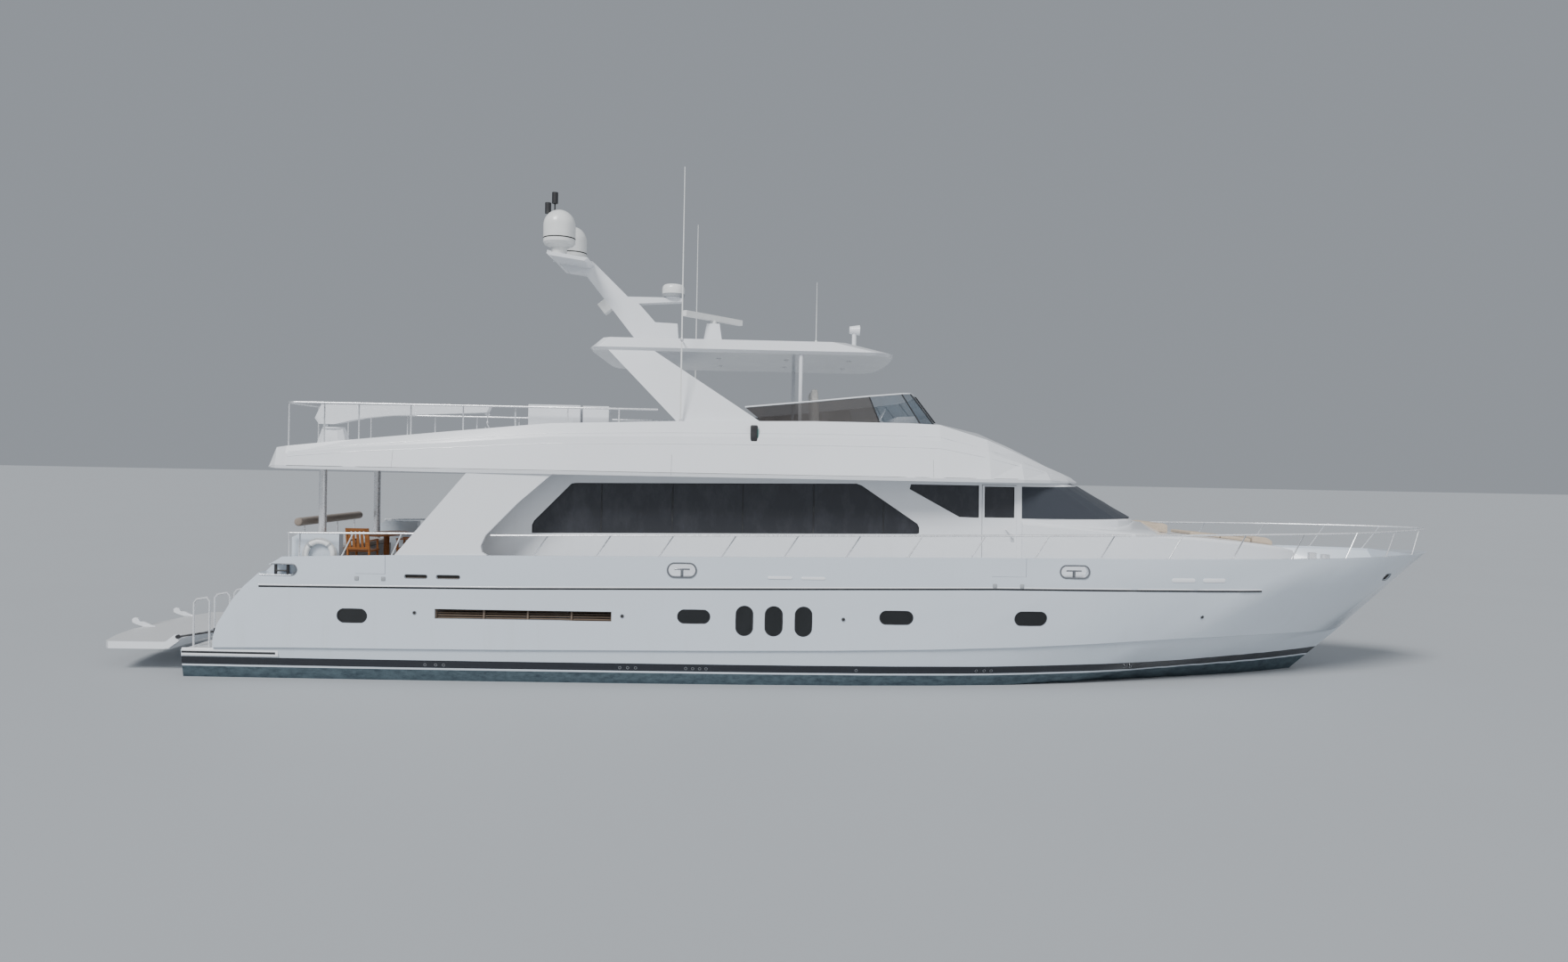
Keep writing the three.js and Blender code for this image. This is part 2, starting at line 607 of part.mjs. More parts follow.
const GLASS_INSET = 12;
const GLASS_EDGE = 0.6;
const glassSkin = cut(houseSolid(GLASS_INSET), houseSolid(GLASS_INSET + 14, 0), box(
  -9000, 9000, -3000, 3000, 2000, 3100,
));
function shrunk(points, by) {
  const cx = points.reduce((sum, p) => sum + p[0], 0) / points.length;
  const cz = points.reduce((sum, p) => sum + p[1], 0) / points.length;
  return points.map(([x, z]) => {
    const reach = Math.hypot(x - cx, z - cz);
    const k = (reach - by * 3) / reach;
    return [cx + (x - cx) * k, cz + (z - cz) * k];
  });
}
const sidePane = (points) => common(glassSkin, plateXZ(shrunk(points, GLASS_EDGE), -3000, -2000));
pair('saloon_glass', sidePane(SALOON_WINDOW), tintedGlass);
pair('quarter_glass', sidePane(QUARTER_WINDOW), tintedGlass);
piece('windscreen', common(glassSkin, screenPane(GLASS_EDGE)), tintedGlass);

// Wheelhouse side doors, glazed above

const doorWindow = (gap) => box(
  DOOR_WINDOW.x0 + gap, DOOR_WINDOW.x1 - gap, -3000, -2000, DOOR_WINDOW.z0 + gap, DOOR_WINDOW.z1 - gap,
);
pair('wheelhouse_door', cut(common(houseShell, doorBlank), doorWindow(0)), gelcoat);
pair('door_glass', common(glassSkin, doorWindow(GLASS_EDGE)), tintedGlass);

// Sliding saloon door behind the aft bulkhead

const doorLeafX = DECKHOUSE_AFT_X + WALL + 8;
piece('saloon_door', box(
  doorLeafX, doorLeafX + 40, -SALOON_DOOR.y - 40, SALOON_DOOR.y + 40, deckZ(doorLeafX) + SEAT_GAP, SALOON_DOOR.z1 + 30,
), tintedGlass);

// Foredeck trunk round the foot of the windscreen: x, half breadth, edge height, centre height

const TRUNK = [
  [4700, 2440, 3660, 3690],
  [6000, 2370, 3560, 3690],
  [7300, 2230, 3450, 3660],
  [7950, 2120, 3400, 3640],
  [8450, 2040, 3365, 3390],
  [9200, 1880, 3320, 3345],
  [10300, 1600, 3220, 3240],
  [11300, 1200, 3110, 3125],
  [11850, 800, 2990, 3005],
  [11980, 560, 2800, 2850],
];
const trunkRing = ([x, y, edge, centre]) => [
  V(x, -y - 30, 2000), V(x, y + 30, 2000), V(x, y, edge - 60), V(x, y - 70, edge), V(x, y * 0.5, centre),
  V(x, -y * 0.5, centre), V(x, 70 - y, edge), V(x, -y, edge - 60),
];
const trunkBody = cut(
  loft(TRUNK.map(trunkRing)),
  moved(hullInDeck, 0, 0, SEAT_GAP),
  loft(HOUSE_LEVELS.map(([z, side, shoulder, front]) => housePlan(side, shoulder, front, z, -1))),
  box(3000, 4760, -4000, 4000, 1000, 5000),
);
piece('trunk', trunkBody, gelcoat);

// Side wings between the bulwark and the upper deck

const WING = [
  [-8980, 2650], [-8980, 2745], [-7470, SOFFIT_Z + 20], [-5640, SOFFIT_Z + 20], [-5770, 4440],
  [-6380, 3900], [-6780, 3480], [-7060, 3190], [-7160, 2960], [-7130, 2830], [-7030, 2765], [-7030, 2650],
];
const wing = cut(plateXZ(WING, -3176, -3076), moved(hullBlank, 0, 0, SEAT_GAP));

// Upper deck moulding with its coaming and brow.
// Columns: x, lower half breadth, lower z, crease y, crease z, top y, top z, inner y, floor y, floor z

const UPPER_DECK = [
  [-11950, 2560, 4570, 2540, 4590, 2520, 4610, 2300, 2280, 4612],
  [-11700, 2820, 4550, 2790, 4780, 2740, 5000, 2560, 2540, 4850],
  [-11450, 2930, 4545, 2890, 4870, 2835, 5035, 2620, 2600, 4850],
  [-10000, 3080, 4540, 2990, 5030, 2880, 5200, 2640, 2620, 4850],
  [-8000, 3180, SOFFIT_Z, 3040, 5170, 2900, 5410, 2620, 2600, 4850],
  [-5760, 3220, SOFFIT_Z, 3040, 5340, 2880, 5640, 2600, 2580, 4850],
  [-3040, 3220, SOFFIT_Z, 3040, 5400, 2860, 5740, 2580, 2560, 4850],
  [0, 3210, SOFFIT_Z, 3030, 5430, 2850, 5800, 2570, 2550, 4850],
  [2100, 3170, SOFFIT_Z, 2990, 5430, 2800, 5800, 2540, 2520, 4850],
  [2750, 3130, SOFFIT_Z, 2935, 5420, 2740, 5780, 2440, 2420, 4850],
  [2790, 3125, SOFFIT_Z, 2930, 5415, 2735, 5778, 2440, 2000, 5850],
  [3900, 2970, SOFFIT_Z, 2740, 5180, 2480, 5480, 2100, 1500, 5650],
  [4700, 2720, SOFFIT_Z, 2450, 4960, 2150, 5180, 1700, 1200, 5350],
  [5400, 2330, SOFFIT_Z, 2020, 4780, 1720, 4930, 1300, 900, 5060],
  [5950, 1850, SOFFIT_Z, 1560, 4670, 1290, 4760, 900, 600, 4830],
  [6300, 1330, SOFFIT_Z, 1100, 4610, 880, 4660, 600, 400, 4690],
  [6500, 700, SOFFIT_Z, 560, 4570, 440, 4590, 300, 200, 4600],
];
const LIP_Z = 70;
function upperDeckRing([x, lowY, lowZ, creaseY, creaseZ, topY, topZ, innerY, floorY, floorZ]) {
  const lip = Math.min(LIP_Z, (creaseZ - lowZ) / 3);
  const side = [
    [lowY, lowZ], [lowY + 15, lowZ + lip], [creaseY, creaseZ], [topY, topZ], [innerY, topZ + 1], [floorY, floorZ],
  ];
  return [...side.map(([y, z]) => V(x, -y, z)), ...side.map(([y, z]) => V(x, y, z)).reverse()];
}
const upperMoulding = loft(UPPER_DECK.map(upperDeckRing));

const coamingZ = (x) => fair(UPPER_DECK.map((row) => [row[0], row[6]]), x)[0];

// Arch legs and hardtop

const ARCH = { footAft: -2940, footFore: -1150, topAft: -4620, topFore: -3600, footY: 2740, topY: 2260, wide: 130 };
function archLeg() {
  const { footAft, footFore, topAft, topFore, footY, topY, wide } = ARCH;
  const ring = (x0, x1, y, z) => [V(x0, -y, z), V(x1, -y, z), V(x1, wide - y, z), V(x0, wide - y, z)];
  const leg = loft([
    ring(footAft - 60, footFore + 60, footY + 10, 5700), ring(topAft, topFore, topY, HARDTOP_SOFFIT_Z - SEAT_GAP),
  ]);
  return cut(leg, moved(upperMoulding, 0, 0, SEAT_GAP));
}
pair('arch_leg', archLeg(), gelcoat);

const HARDTOP = { aft: -5100, fore: 1950, y: 2300 };
function hardtopRing(z, aftInset, foreInset, sideInset) {
  const [a, f, w] = [HARDTOP.aft + aftInset, HARDTOP.fore - foreInset, HARDTOP.y - sideInset];
  const side = [
    [a, 0.8], [a + 90, 0.94], [a + 250, 1], [f - 600, 1], [f - 300, 0.95], [f - 130, 0.82], [f - 40, 0.5],
  ];
  return [
    ...side.map(([x, share]) => V(x, -w * share, z)),
    V(f, -w * 0.25, z), V(f, w * 0.25, z),
    ...side.map(([x, share]) => V(x, w * share, z)).reverse(),
  ];
}
const hardtop = loft([
  hardtopRing(HARDTOP_SOFFIT_Z, 60, 60, 60), hardtopRing(7400, 0, 0, 0),
  hardtopRing(7620, 250, 950, 60), hardtopRing(7720, 900, 1250, 900),
]);

const POST = { x: -300, y: 2170, radius: 45 };
pair('hardtop_post', rod(
  V(POST.x, -POST.y, 4850 + SEAT_GAP), V(POST.x, -POST.y, HARDTOP_SOFFIT_Z - SEAT_GAP), POST.radius, 12,
), stainless);

// Mast on the hardtop: a raked blade with a top platform and a forward bracket

const MAST = [
  [-4080, 7600], [-5560, 9450], [-5900, 9430], [-6300, 9740], [-6460, 9880], [-6440, 9960], [-5330, 9700],
  [-4470, 8870], [-3150, 8870], [-3150, 8780], [-4200, 8710], [-3790, 8260], [-3250, 8240], [-3200, 7600],
];
const MAST_HALF_WIDTH = 150;
function mast() {
  const blade = plateXZ(MAST, -MAST_HALF_WIDTH, MAST_HALF_WIDTH);
  const wing = plateXZ([[-6200, 9640], [-6190, 9720], [-5300, 9600], [-5380, 9520]], -1150, 1150);
  return cut(join(blade, wing), moved(hardtop, 0, 0, SEAT_GAP));
}
const DOME = { x: -6020, y: 850, radius: 375, base: 9740, foot: 9655, top: 10760 };
function satelliteDome() {
  const { x, y, radius, base, foot, top } = DOME;
  const profile = [[0, foot], [170, foot], [190, base + 130], [radius - 30, base + 200], [radius, base + 260]];
  const shoulder = top - radius;
  for (let i = 0; i <= 5; i += 1) {
    const angle = (Math.PI / 2) * (i / 5);
    profile.push([i === 5 ? 0 : radius * Math.cos(angle), shoulder + radius * Math.sin(angle)]);
  }
  const lathe = new THREE.LatheGeometry(profile.map(([r, z]) => new THREE.Vector2(r, z)), 16);
  const dome = lathe.rotateX(Math.PI / 2).translate(x, -y, 0);
  return cut(dome, moved(mast(), 0, 0, SEAT_GAP));
}
pair('satellite_dome', satelliteDome(), plastic);

function roundPod(radius, z0, z1) {
  const edge = (z1 - z0) * 0.3;
  const profile = [
    [0, z0], [radius * 0.8, z0], [radius, z0 + edge], [radius, z1 - edge], [radius * 0.8, z1], [0, z1],
  ];
  return new THREE.LatheGeometry(profile.map(([r, z]) => new THREE.Vector2(r, z)), 16).rotateX(Math.PI / 2);
}

const RADAR = { x: -2340, y: -950, z: 8130, length: 1950, yaw: THREE.MathUtils.degToRad(49) };
const radarPedestal = loft([[250, 7500], [150, RADAR.z]].map(([r, z]) => [
  V(-r, -r, z), V(r, -r, z), V(r, r, z), V(-r, r, z),
])).translate(RADAR.x, RADAR.y, 0);
const radarBar = join(
  rod(V(0, 0, RADAR.z + SEAT_GAP), V(0, 0, RADAR.z + 90), 80, 12),
  box(-RADAR.length / 2, RADAR.length / 2, -60, 60, RADAR.z + 80, RADAR.z + 210),
).rotateZ(RADAR.yaw);
piece('radar_scanner', radarBar, plastic, [RADAR.x, RADAR.y, 0]);

function navigationLights() {
  const pole = rod(V(-6300, 0, 9700), V(-6300, 0, 11150), 18, 8);
  const lamp = rod(V(-6300, 0, 11120), V(-6300, 0, 11390), 75, 12);
  const arm = rod(V(-6300, -10, 10850), V(-6430, -180, 10850), 14, 8);
  const low = rod(V(-6430, -180, 10830), V(-6430, -180, 11090), 75, 12);
  return join(pole, lamp, arm, low);
}

function searchlight() {
  const foot = rod(V(0, 0, 7400), V(0, 0, 8110), 55, 10);
  const head = rod(V(-120, 0, 8200), V(130, 0, 8200), 90, 12, 130);
  return join(foot, head).translate(1100, 0, 0);
}
piece('hardtop', join(hardtop, radarPedestal, searchlight()), gelcoat);
piece('mast', join(mast(), navigationLights(), moved(roundPod(270, 8865, 9200), -3370, 0, 0)), gelcoat);

// Whip aerials: x, y, foot z, tip z

const AERIALS = [
  [-2950, -2830, 5560, 11300],
  [-2950, 2830, 5560, 11350],
];
const aerial = ([x, y, foot, tip]) => rod(V(x, y, foot), V(x, y, tip), 22, 6, 9);
AERIALS.forEach((row, i) => {
  const body = cut(aerial(row), moved(upperMoulding, 0, 0, SEAT_GAP));
  piece(i === 0 ? 'aerial_starboard' : 'aerial_port', body, plastic);
});

// Flybridge windscreen: plan knots x, y from aft to the centreline, with foot and head heights

const SCREEN_FEET = [[-1040, 2700], [0, 2700], [1500, 2660], [2450, 2560], [2800, 2300], [3080, 1300], [3160, 0]];
const SCREEN_HEADS = [6090, 6252, 6391, 6469, 6490, 6490, 6490];
const SCREEN_LEANS = [0.19, 0.19, 0.22, 0.50, 0.76, 0.80];
const SCREEN_FOOT_Z = 5690;
const SCREEN_END_RAKE = -1.25;
const SCREEN_THICK = 16;
function flyScreen() {
  const across = (list, mirror) => [...list, ...list.slice(0, -1).reverse().map(mirror)];
  const feet = across(SCREEN_FEET.map(([x, y]) => V(x, -y, 0)), (p) => V(p.x, -p.y, 0));
  const heads = across(SCREEN_HEADS, (z) => z);
  const leans = [...SCREEN_LEANS, ...[...SCREEN_LEANS].reverse()];
  const along = leans.map((_, i) => feet[i + 1].clone().sub(feet[i]).normalize());
  const inward = along.map((a) => V(-a.y, a.x, 0));
  const last = feet.length - 1;
  // Where two panes meet, a step of the given sizes inward from each
  const meet = (i, before, after) => {
    const [p, q] = [inward[i - 1], inward[i]];
    const turn = p.x * q.y - p.y * q.x;
    return V((before * q.y - after * p.y) / turn, (p.x * after - q.x * before) / turn, 0);
  };
  const step = (i, before, after, rake) => {
    if (i === 0) return inward[0].clone().multiplyScalar(after).add(along[0].clone().multiplyScalar(rake));
    if (i < last) return meet(i, before, after);
    return inward[last - 1].clone().multiplyScalar(before).sub(along[last - 1].clone().multiplyScalar(rake));
  };
  const rings = feet.map((foot, i) => {
    const rise = heads[i] - SCREEN_FOOT_Z;
    const lean = step(i, leans[i - 1], leans[i], SCREEN_END_RAKE).multiplyScalar(rise);
    const thick = step(i, SCREEN_THICK, SCREEN_THICK, 0);
    const outerFoot = foot.clone().setZ(SCREEN_FOOT_Z);
    const outerHead = outerFoot.clone().add(lean).setZ(heads[i]);
    return [outerFoot, outerHead, outerHead.clone().add(thick), outerFoot.clone().add(thick)];
  });
  return cut(
    loft(rings),
    moved(upperMoulding, 0, 0, SEAT_GAP),
  );
}
piece('fly_windscreen', flyScreen(), tintedGlass);

// Rails

const RAIL_RADIUS = 22;
const POST_RADIUS = 16;
const BOAT_DECK_RAIL = { z: 5990, y: 2740, aft: -11560, fore: -6250 };
const RAIL_POSTS = [-10680, -9940, -8820, -7690, -6560];
function boatDeckRail() {
  const { z, y, aft, fore } = BOAT_DECK_RAIL;
  const top = pipe([
    V(fore, -y, z), V(aft + 250, -y, z), V(aft, -y + 250, z), V(aft, y - 250, z), V(aft + 250, y, z), V(fore, y, z),
  ], RAIL_RADIUS);
  const posts = RAIL_POSTS.flatMap((x) => [-y, y].map(
    (at) => rod(V(x, at, coamingZ(x) - 60), V(x, at, z), POST_RADIUS, 6),
  ));
  const across = [-2480, -900, 900, 2480].map((at) => rod(V(aft, at, 4800), V(aft, at, z), POST_RADIUS, 6));
  return cut(join(top, ...posts, ...across), moved(upperMoulding, 0, 0, SEAT_GAP));
}
piece('boat_deck_rail', boatDeckRail(), stainless);

// Side rail posts lean forward: foot x of each

const SIDE_POSTS = [-6050, -4700, -3350, -2000, -650, 700, 2050, 3430, 4840, 6300];
const POST_LEAN = 330;
const railZ = (x) => 3190 + (x + 7000) * 0.0165;
const railY = (x) => sheerY(x) - 60;
const railPoint = (x, share = 1) => V(x, -railY(x), share === 1 ? railZ(x) : 2600);
function railRun(stations, posts, clear = hullBlank) {
  const top = pipe(stations.map((x) => railPoint(x)), RAIL_RADIUS);
  const legs = posts.map((x) => {
    const foot = V(x, -railY(x), fair(SHEER, x)[1] - 30);
    return rod(foot, railPoint(x + POST_LEAN), POST_RADIUS, 6);
  });
  return cut(join(top, ...legs), moved(clear, 0, 0, SEAT_GAP));
}
pair('side_rail', railRun([-6950, -3000, 1000, 4500, 7000], SIDE_POSTS), stainless);

const BOW_POSTS = [7850, 9360, 10800, 12260, 13560, 14600];
function bowRail() {
  const stations = [7100, 8500, 10000, 11200, 12200, 13000, 13800, 14500, 15050, 15350];
  const starboard = railRun(stations, BOW_POSTS);
  const nose = pipe([
    railPoint(15350), V(15480, -150, railZ(15350)), V(15480, 150, railZ(15350)),
    V(15350, railY(15350), railZ(15350)),
  ], RAIL_RADIUS);
  return join(starboard, mirrored(starboard), nose);
}
piece('bow_rail', bowRail(), stainless);

// Quarter rail posts: foot x and how far the head leans forward
const QUARTER_POSTS = [[-11300, 0], [-11080, 20], [-10210, 300], [-9140, 270]];
function quarterRail() {
  const top = pipe([V(-11330, -2970, 3160), V(-10000, -3080, 3180), V(-8500, -3126, 3200)], RAIL_RADIUS);
  const legs = QUARTER_POSTS.map(([x, lean]) => rod(
    V(x, -railY(x), 2560), V(x + lean, -railY(x + lean) + 8, 3172), POST_RADIUS, 6,
  ));
  return cut(join(top, ...legs), moved(hullBlank, 0, 0, SEAT_GAP), moved(wing, -SEAT_GAP, 0, 0));
}
pair('quarter_rail', quarterRail(), stainless);

// Cockpit

const COCKPIT_Z = deckZ(-10000);
const seatOn = COCKPIT_Z + SEAT_GAP;
const COCKPIT_POST = { x: -11100, y: 1730, radius: 85 };
pair('cockpit_post', cut(
  rod(
    V(COCKPIT_POST.x, -COCKPIT_POST.y, seatOn), V(COCKPIT_POST.x, -COCKPIT_POST.y, SOFFIT_Z + 60),
    COCKPIT_POST.radius, 16,
  ),
  moved(upperMoulding, 0, 0, -SEAT_GAP),
), stainless);

const quarterLocker = plateXZ([
  [-11320, COCKPIT_Z - 20], [-10310, COCKPIT_Z - 20], [-10310, 3150], [-11150, 3150], [-11320, 3050],
], -2800, -2565);

const LIFE_RING = { x: -10700, z: 2665, radius: 290, thick: 60 };
const lifeRing = new THREE.TorusGeometry(LIFE_RING.radius, LIFE_RING.thick, 8, 20)
  .rotateX(Math.PI / 2).translate(LIFE_RING.x, -2800 - LIFE_RING.thick - SEAT_GAP, LIFE_RING.z + 20);
piece('life_ring', lifeRing, plastic);

const setteeBase = box(-11320, -10700, -1630, 1630, COCKPIT_Z - 20, 2640);
piece('settee_cushion', box(-11260, -10720, -1620, 1620, 2640 + SEAT_GAP, 2760), cushion);

const BOLSTER = { x: -11600, z: 3330, radius: 105, y: 1880 };
piece('settee_bolster', rod(
  V(BOLSTER.x, -BOLSTER.y, BOLSTER.z), V(BOLSTER.x, BOLSTER.y, BOLSTER.z), BOLSTER.radius, 12,
), cushion);
const bolsterStands = [-1500, -400, 400, 1500].map((y) => rod(
  V(BOLSTER.x, y, 2450), V(BOLSTER.x, y, BOLSTER.z - BOLSTER.radius - SEAT_GAP), 18, 8,
));

const TABLE = { x: -10250, length: 1800, width: 900, top: 3000 };
function cockpitTable() {
  const outline = [];
  for (let i = 0; i < 16; i += 1) {
    const angle = (2 * Math.PI * i) / 16;
    outline.push([(TABLE.width / 2) * Math.cos(angle), (TABLE.length / 2) * Math.sin(angle)]);
  }
  const top = plateXY(outline, TABLE.top - 45, TABLE.top);
  const leg = rod(V(0, 0, seatOn), V(0, 0, TABLE.top - 30), 70, 12);
  return join(top, leg, rod(V(0, 0, seatOn), V(0, 0, seatOn + 40), 280, 16)).translate(TABLE.x, 0, 0);
}
piece('cockpit_table', cockpitTable(), teak);

// Teak armchairs: x, y, heading of the seat in degrees

const CHAIRS = [
  [-10350, -1250, 90],
  [-9500, -500, 180],
];
function armchair() {
  const z = seatOn;
  const parts = [box(-260, 260, -280, 280, z + 400, z + 440)];
  for (const y of [-260, 225]) {
    parts.push(box(215, 255, y, y + 40, z, z + 650));
    parts.push(plateXZ([[-300, z], [-255, z], [-270, z + 420], [-380, z + 950], [-420, z + 950], [-315, z + 420]],
      y, y + 40));
    parts.push(box(-330, 270, y, y + 45, z + 640, z + 670));
  }
  for (let i = 0; i < 5; i += 1) {
    const y = -217 + i * 95;
    parts.push(plateXZ([[-314, z + 480], [-290, z + 480], [-382, z + 930], [-406, z + 930]], y, y + 55));
  }
  parts.push(plateXZ([[-402, z + 880], [-366, z + 880], [-382, z + 948], [-417, z + 948]], -225, 230));
  parts.push(plateXZ([[-322, z + 455], [-284, z + 455], [-294, z + 510], [-332, z + 510]], -225, 230));
  return join(...parts);
}
CHAIRS.forEach(([x, y, heading], i) => {
  const chair = piece(`armchair_${i + 1}`, armchair(), teak, [x, y, 0]);
  chair.rotation.z = THREE.MathUtils.degToRad(heading);
});

// Crane on the boat deck

const BOAT_DECK_Z = 4850;
const CRANE_TOP_Z = 5460;
const craneBase = loft([[390, BOAT_DECK_Z - 20], [370, 5150], [270, CRANE_TOP_Z]].map(([r, z]) => {
  const ring = [];
  for (let i = 0; i < 12; i += 1) {
    const angle = (2 * Math.PI * i) / 12;
    ring.push(V(CRANE_X + r * Math.cos(angle), CRANE_Y + 0.8 * r * Math.sin(angle), z));
  }
  return ring;
}));
const BOOM_PIVOT = { x: CRANE_X - 200, z: 5740 };
const BOOM_HALF = 125;
const LUG_HALF = 45;
const acrossPivot = (radius, reach, sides) => rod(
  V(BOOM_PIVOT.x, CRANE_Y - reach, BOOM_PIVOT.z), V(BOOM_PIVOT.x, CRANE_Y + reach, BOOM_PIVOT.z), radius, sides,
);
const craneHead = join(
  rod(V(CRANE_X, CRANE_Y, CRANE_TOP_Z + SEAT_GAP), V(CRANE_X, CRANE_Y, CRANE_TOP_Z + 40), 250, 16),
  box(
    BOOM_PIVOT.x - 40, BOOM_PIVOT.x + 75, CRANE_Y - LUG_HALF, CRANE_Y + LUG_HALF, CRANE_TOP_Z + 20, BOOM_PIVOT.z,
  ),
  acrossPivot(75, LUG_HALF, 16),
  acrossPivot(30, BOOM_HALF + 12, 24),
);
piece('crane_head', craneHead, gelcoat);
const boomOutline = [
  [BOOM_PIVOT.x - 100, 5570], [-10960, 5570], [-10320, 5720], [-9720, 5790], [-7490, 5910], [-7430, 6040],
  [BOOM_PIVOT.x - 50, 6020], [BOOM_PIVOT.x - 195, 5700],
];
const lugSlot = box(
  BOOM_PIVOT.x - 500, BOOM_PIVOT.x + 130, CRANE_Y - LUG_HALF - 6, CRANE_Y + LUG_HALF + 6, 5400, BOOM_PIVOT.z + 90,
);
const craneBoom = cut(
  plateXZ(boomOutline, CRANE_Y - BOOM_HALF, CRANE_Y + BOOM_HALF), lugSlot, acrossPivot(30.7, 300, 24),
);
piece('crane_boom', craneBoom, gelcoat);

// Flybridge furniture

const FLY_Z = BOAT_DECK_Z + SEAT_GAP;
const flyConsole = plateXZ([
  [1700, BOAT_DECK_Z - 20], [2500, BOAT_DECK_Z - 20], [2500, 5750], [2350, 6000], [1950, 5980], [1700, 5700],
], -1900, 500);
piece('helm_seat', join(
  box(50, 600, -1500, 100, FLY_Z + 420, FLY_Z + 600),
  plateXZ([[20, FLY_Z + 430], [170, FLY_Z + 430], [90, 6640], [-50, 6640]], -1500, 100),
  box(170, 480, -1300, -100, FLY_Z, FLY_Z + 450),
), cushion);
const flyCabinets = [
  box(-6330, -5190, -2500, -1900, BOAT_DECK_Z - 20, 6060),
  box(-5130, -4560, -2500, -1900, BOAT_DECK_Z - 20, 6050),
];
piece('fly_settee', join(
  box(-3600, -450, 1700, 2480, FLY_Z, 5330),
  box(-3600, -450, 2340, 2480, FLY_Z + 100, 5700),
), cushion);
piece('upper_deck', join(
  upperMoulding, ...bothSides(wing), craneBase, flyConsole, ...flyCabinets,
), gelcoat);

// Foredeck

const trunkTopZ = (x) => fair(TRUNK.map((row) => [row[0], row[3]]), x)[0];

// Pad stations: x and height over the trunk
function pad(stations, y) {
  const sunk = 60;
  const rings = stations.map(([x, thick]) => {
    const z = trunkTopZ(x);
    return [V(x, -y, z - sunk), V(x, y, z - sunk), V(x, y, z + thick), V(x, -y, z + thick)];
  });
  return cut(loft(rings), moved(trunkBody, 0, 0, SEAT_GAP));
}
piece('headrest', pad([[7990, 20], [8070, 60], [8580, 240], [8730, 200]], 850), cushion);
piece('sunpad', pad([[9350, 75], [10300, 85], [10880, 90], [10960, 150], [11340, 160], [11420, 110]], 620), cushion);

const windlassZ = deckZ(13000);
const windlass = join(
  box(12700, 13100, -500, 500, 2500, windlassZ + 130),
  ...[-300, 300].map((y) => rod(V(12900, y, windlassZ + 100), V(12900, y, windlassZ + 300), 110, 12)),
);

const HATCH = { x: 12450, y: 900, half: 300, coaming: 30, lid: 45, depth: 250 };
const hatchZ = deckZ(HATCH.x + HATCH.half) + HATCH.coaming;
const hatchBlock = (half, z0, z1) => box(
  HATCH.x - half, HATCH.x + half, HATCH.y - half, HATCH.y + half, z0, z1,
);
piece('foredeck_hatch', hatchBlock(HATCH.half, hatchZ + SEAT_GAP, hatchZ + HATCH.lid), gelcoat);

// The hull with what is moulded in or bolted to it

const openHull = cut(
  hullFull,
  deckWell,
  engineRoom,
  intakeSlot,
  ...bothSides(stairWell(), shaftBore, stockBore, armSlot),
  ...bothSides(...FAIRLEADS.map(fairlead)),
  ...bothSides(...GATES.map(gateSlot)),
);
piece('hull', cut(
  join(
    openHull,
    ...bothSides(strut(), liftBracket(), quarterLocker, intakeGrille()),
    ...HOOPS.map(hoop),
    setteeBase,
    ...bolsterStands,
    windlass,
    hatchBlock(HATCH.half, hatchZ - 80, hatchZ),
  ),
  ...bothSides(shaftBore),
  hatchBlock(HATCH.half - 40, hatchZ - HATCH.depth, hatchZ + 100),
), hullPaint);

export default yacht;
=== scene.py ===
import json
import math

import bpy
from bpy.props import FloatProperty, FloatVectorProperty, PointerProperty
from mathutils import Matrix, Vector
from mathutils.bvhtree import BVHTree

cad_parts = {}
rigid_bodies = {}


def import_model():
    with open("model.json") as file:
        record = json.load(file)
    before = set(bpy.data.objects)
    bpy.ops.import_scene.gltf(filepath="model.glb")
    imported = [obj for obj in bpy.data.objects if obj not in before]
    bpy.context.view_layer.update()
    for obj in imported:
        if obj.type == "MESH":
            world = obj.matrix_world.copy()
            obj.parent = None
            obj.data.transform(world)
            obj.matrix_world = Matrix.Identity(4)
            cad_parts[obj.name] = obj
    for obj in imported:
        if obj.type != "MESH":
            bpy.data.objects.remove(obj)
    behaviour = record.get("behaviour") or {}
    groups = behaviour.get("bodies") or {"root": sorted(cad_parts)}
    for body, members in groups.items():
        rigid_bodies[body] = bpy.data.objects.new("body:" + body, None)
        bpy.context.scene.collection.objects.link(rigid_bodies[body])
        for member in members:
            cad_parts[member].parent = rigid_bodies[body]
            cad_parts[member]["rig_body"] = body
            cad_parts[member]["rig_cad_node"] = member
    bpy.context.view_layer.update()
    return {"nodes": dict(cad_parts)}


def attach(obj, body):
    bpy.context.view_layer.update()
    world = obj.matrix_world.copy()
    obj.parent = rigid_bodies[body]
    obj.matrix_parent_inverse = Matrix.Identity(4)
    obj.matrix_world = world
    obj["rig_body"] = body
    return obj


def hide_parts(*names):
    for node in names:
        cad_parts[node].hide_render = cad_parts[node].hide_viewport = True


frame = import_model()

bl_info = {
    "name": "Motor Yacht Dressing",
    "version": (1, 0, 0),
    "blender": (4, 5, 0),
    "location": "View3D > Sidebar > Yacht",
    "description": "Finishes, fittings, glazing and soft goods for a motor yacht's solids",
    "category": "Object",
}

NODES = frame["nodes"]
YACHT = "yacht"
SIDES = (("starboard", -1), ("port", 1))

# Camera at the photographed viewing angle
CAMERA_PLACE = (-1.363, -25.808, 4.725)
CAMERA_YAW = math.radians(1.77)
CAMERA_PITCH = math.radians(-0.625)
CAMERA_ROLL = math.radians(1.1)
CAMERA_LENS = 24.0

# Deck height along the boat: x, z
DECK_LINE = ((-13.6, 2.25), (-6.5, 2.25), (4.0, 2.44), (8.0, 2.5), (14.7, 2.6))
STERN_DECK_Z = 0.6
PLATFORM_Z = 0.66
BOAT_DECK_Z = 4.85
SOFFIT_Z = 4.53
HARDTOP_SOFFIT_Z = 7.33

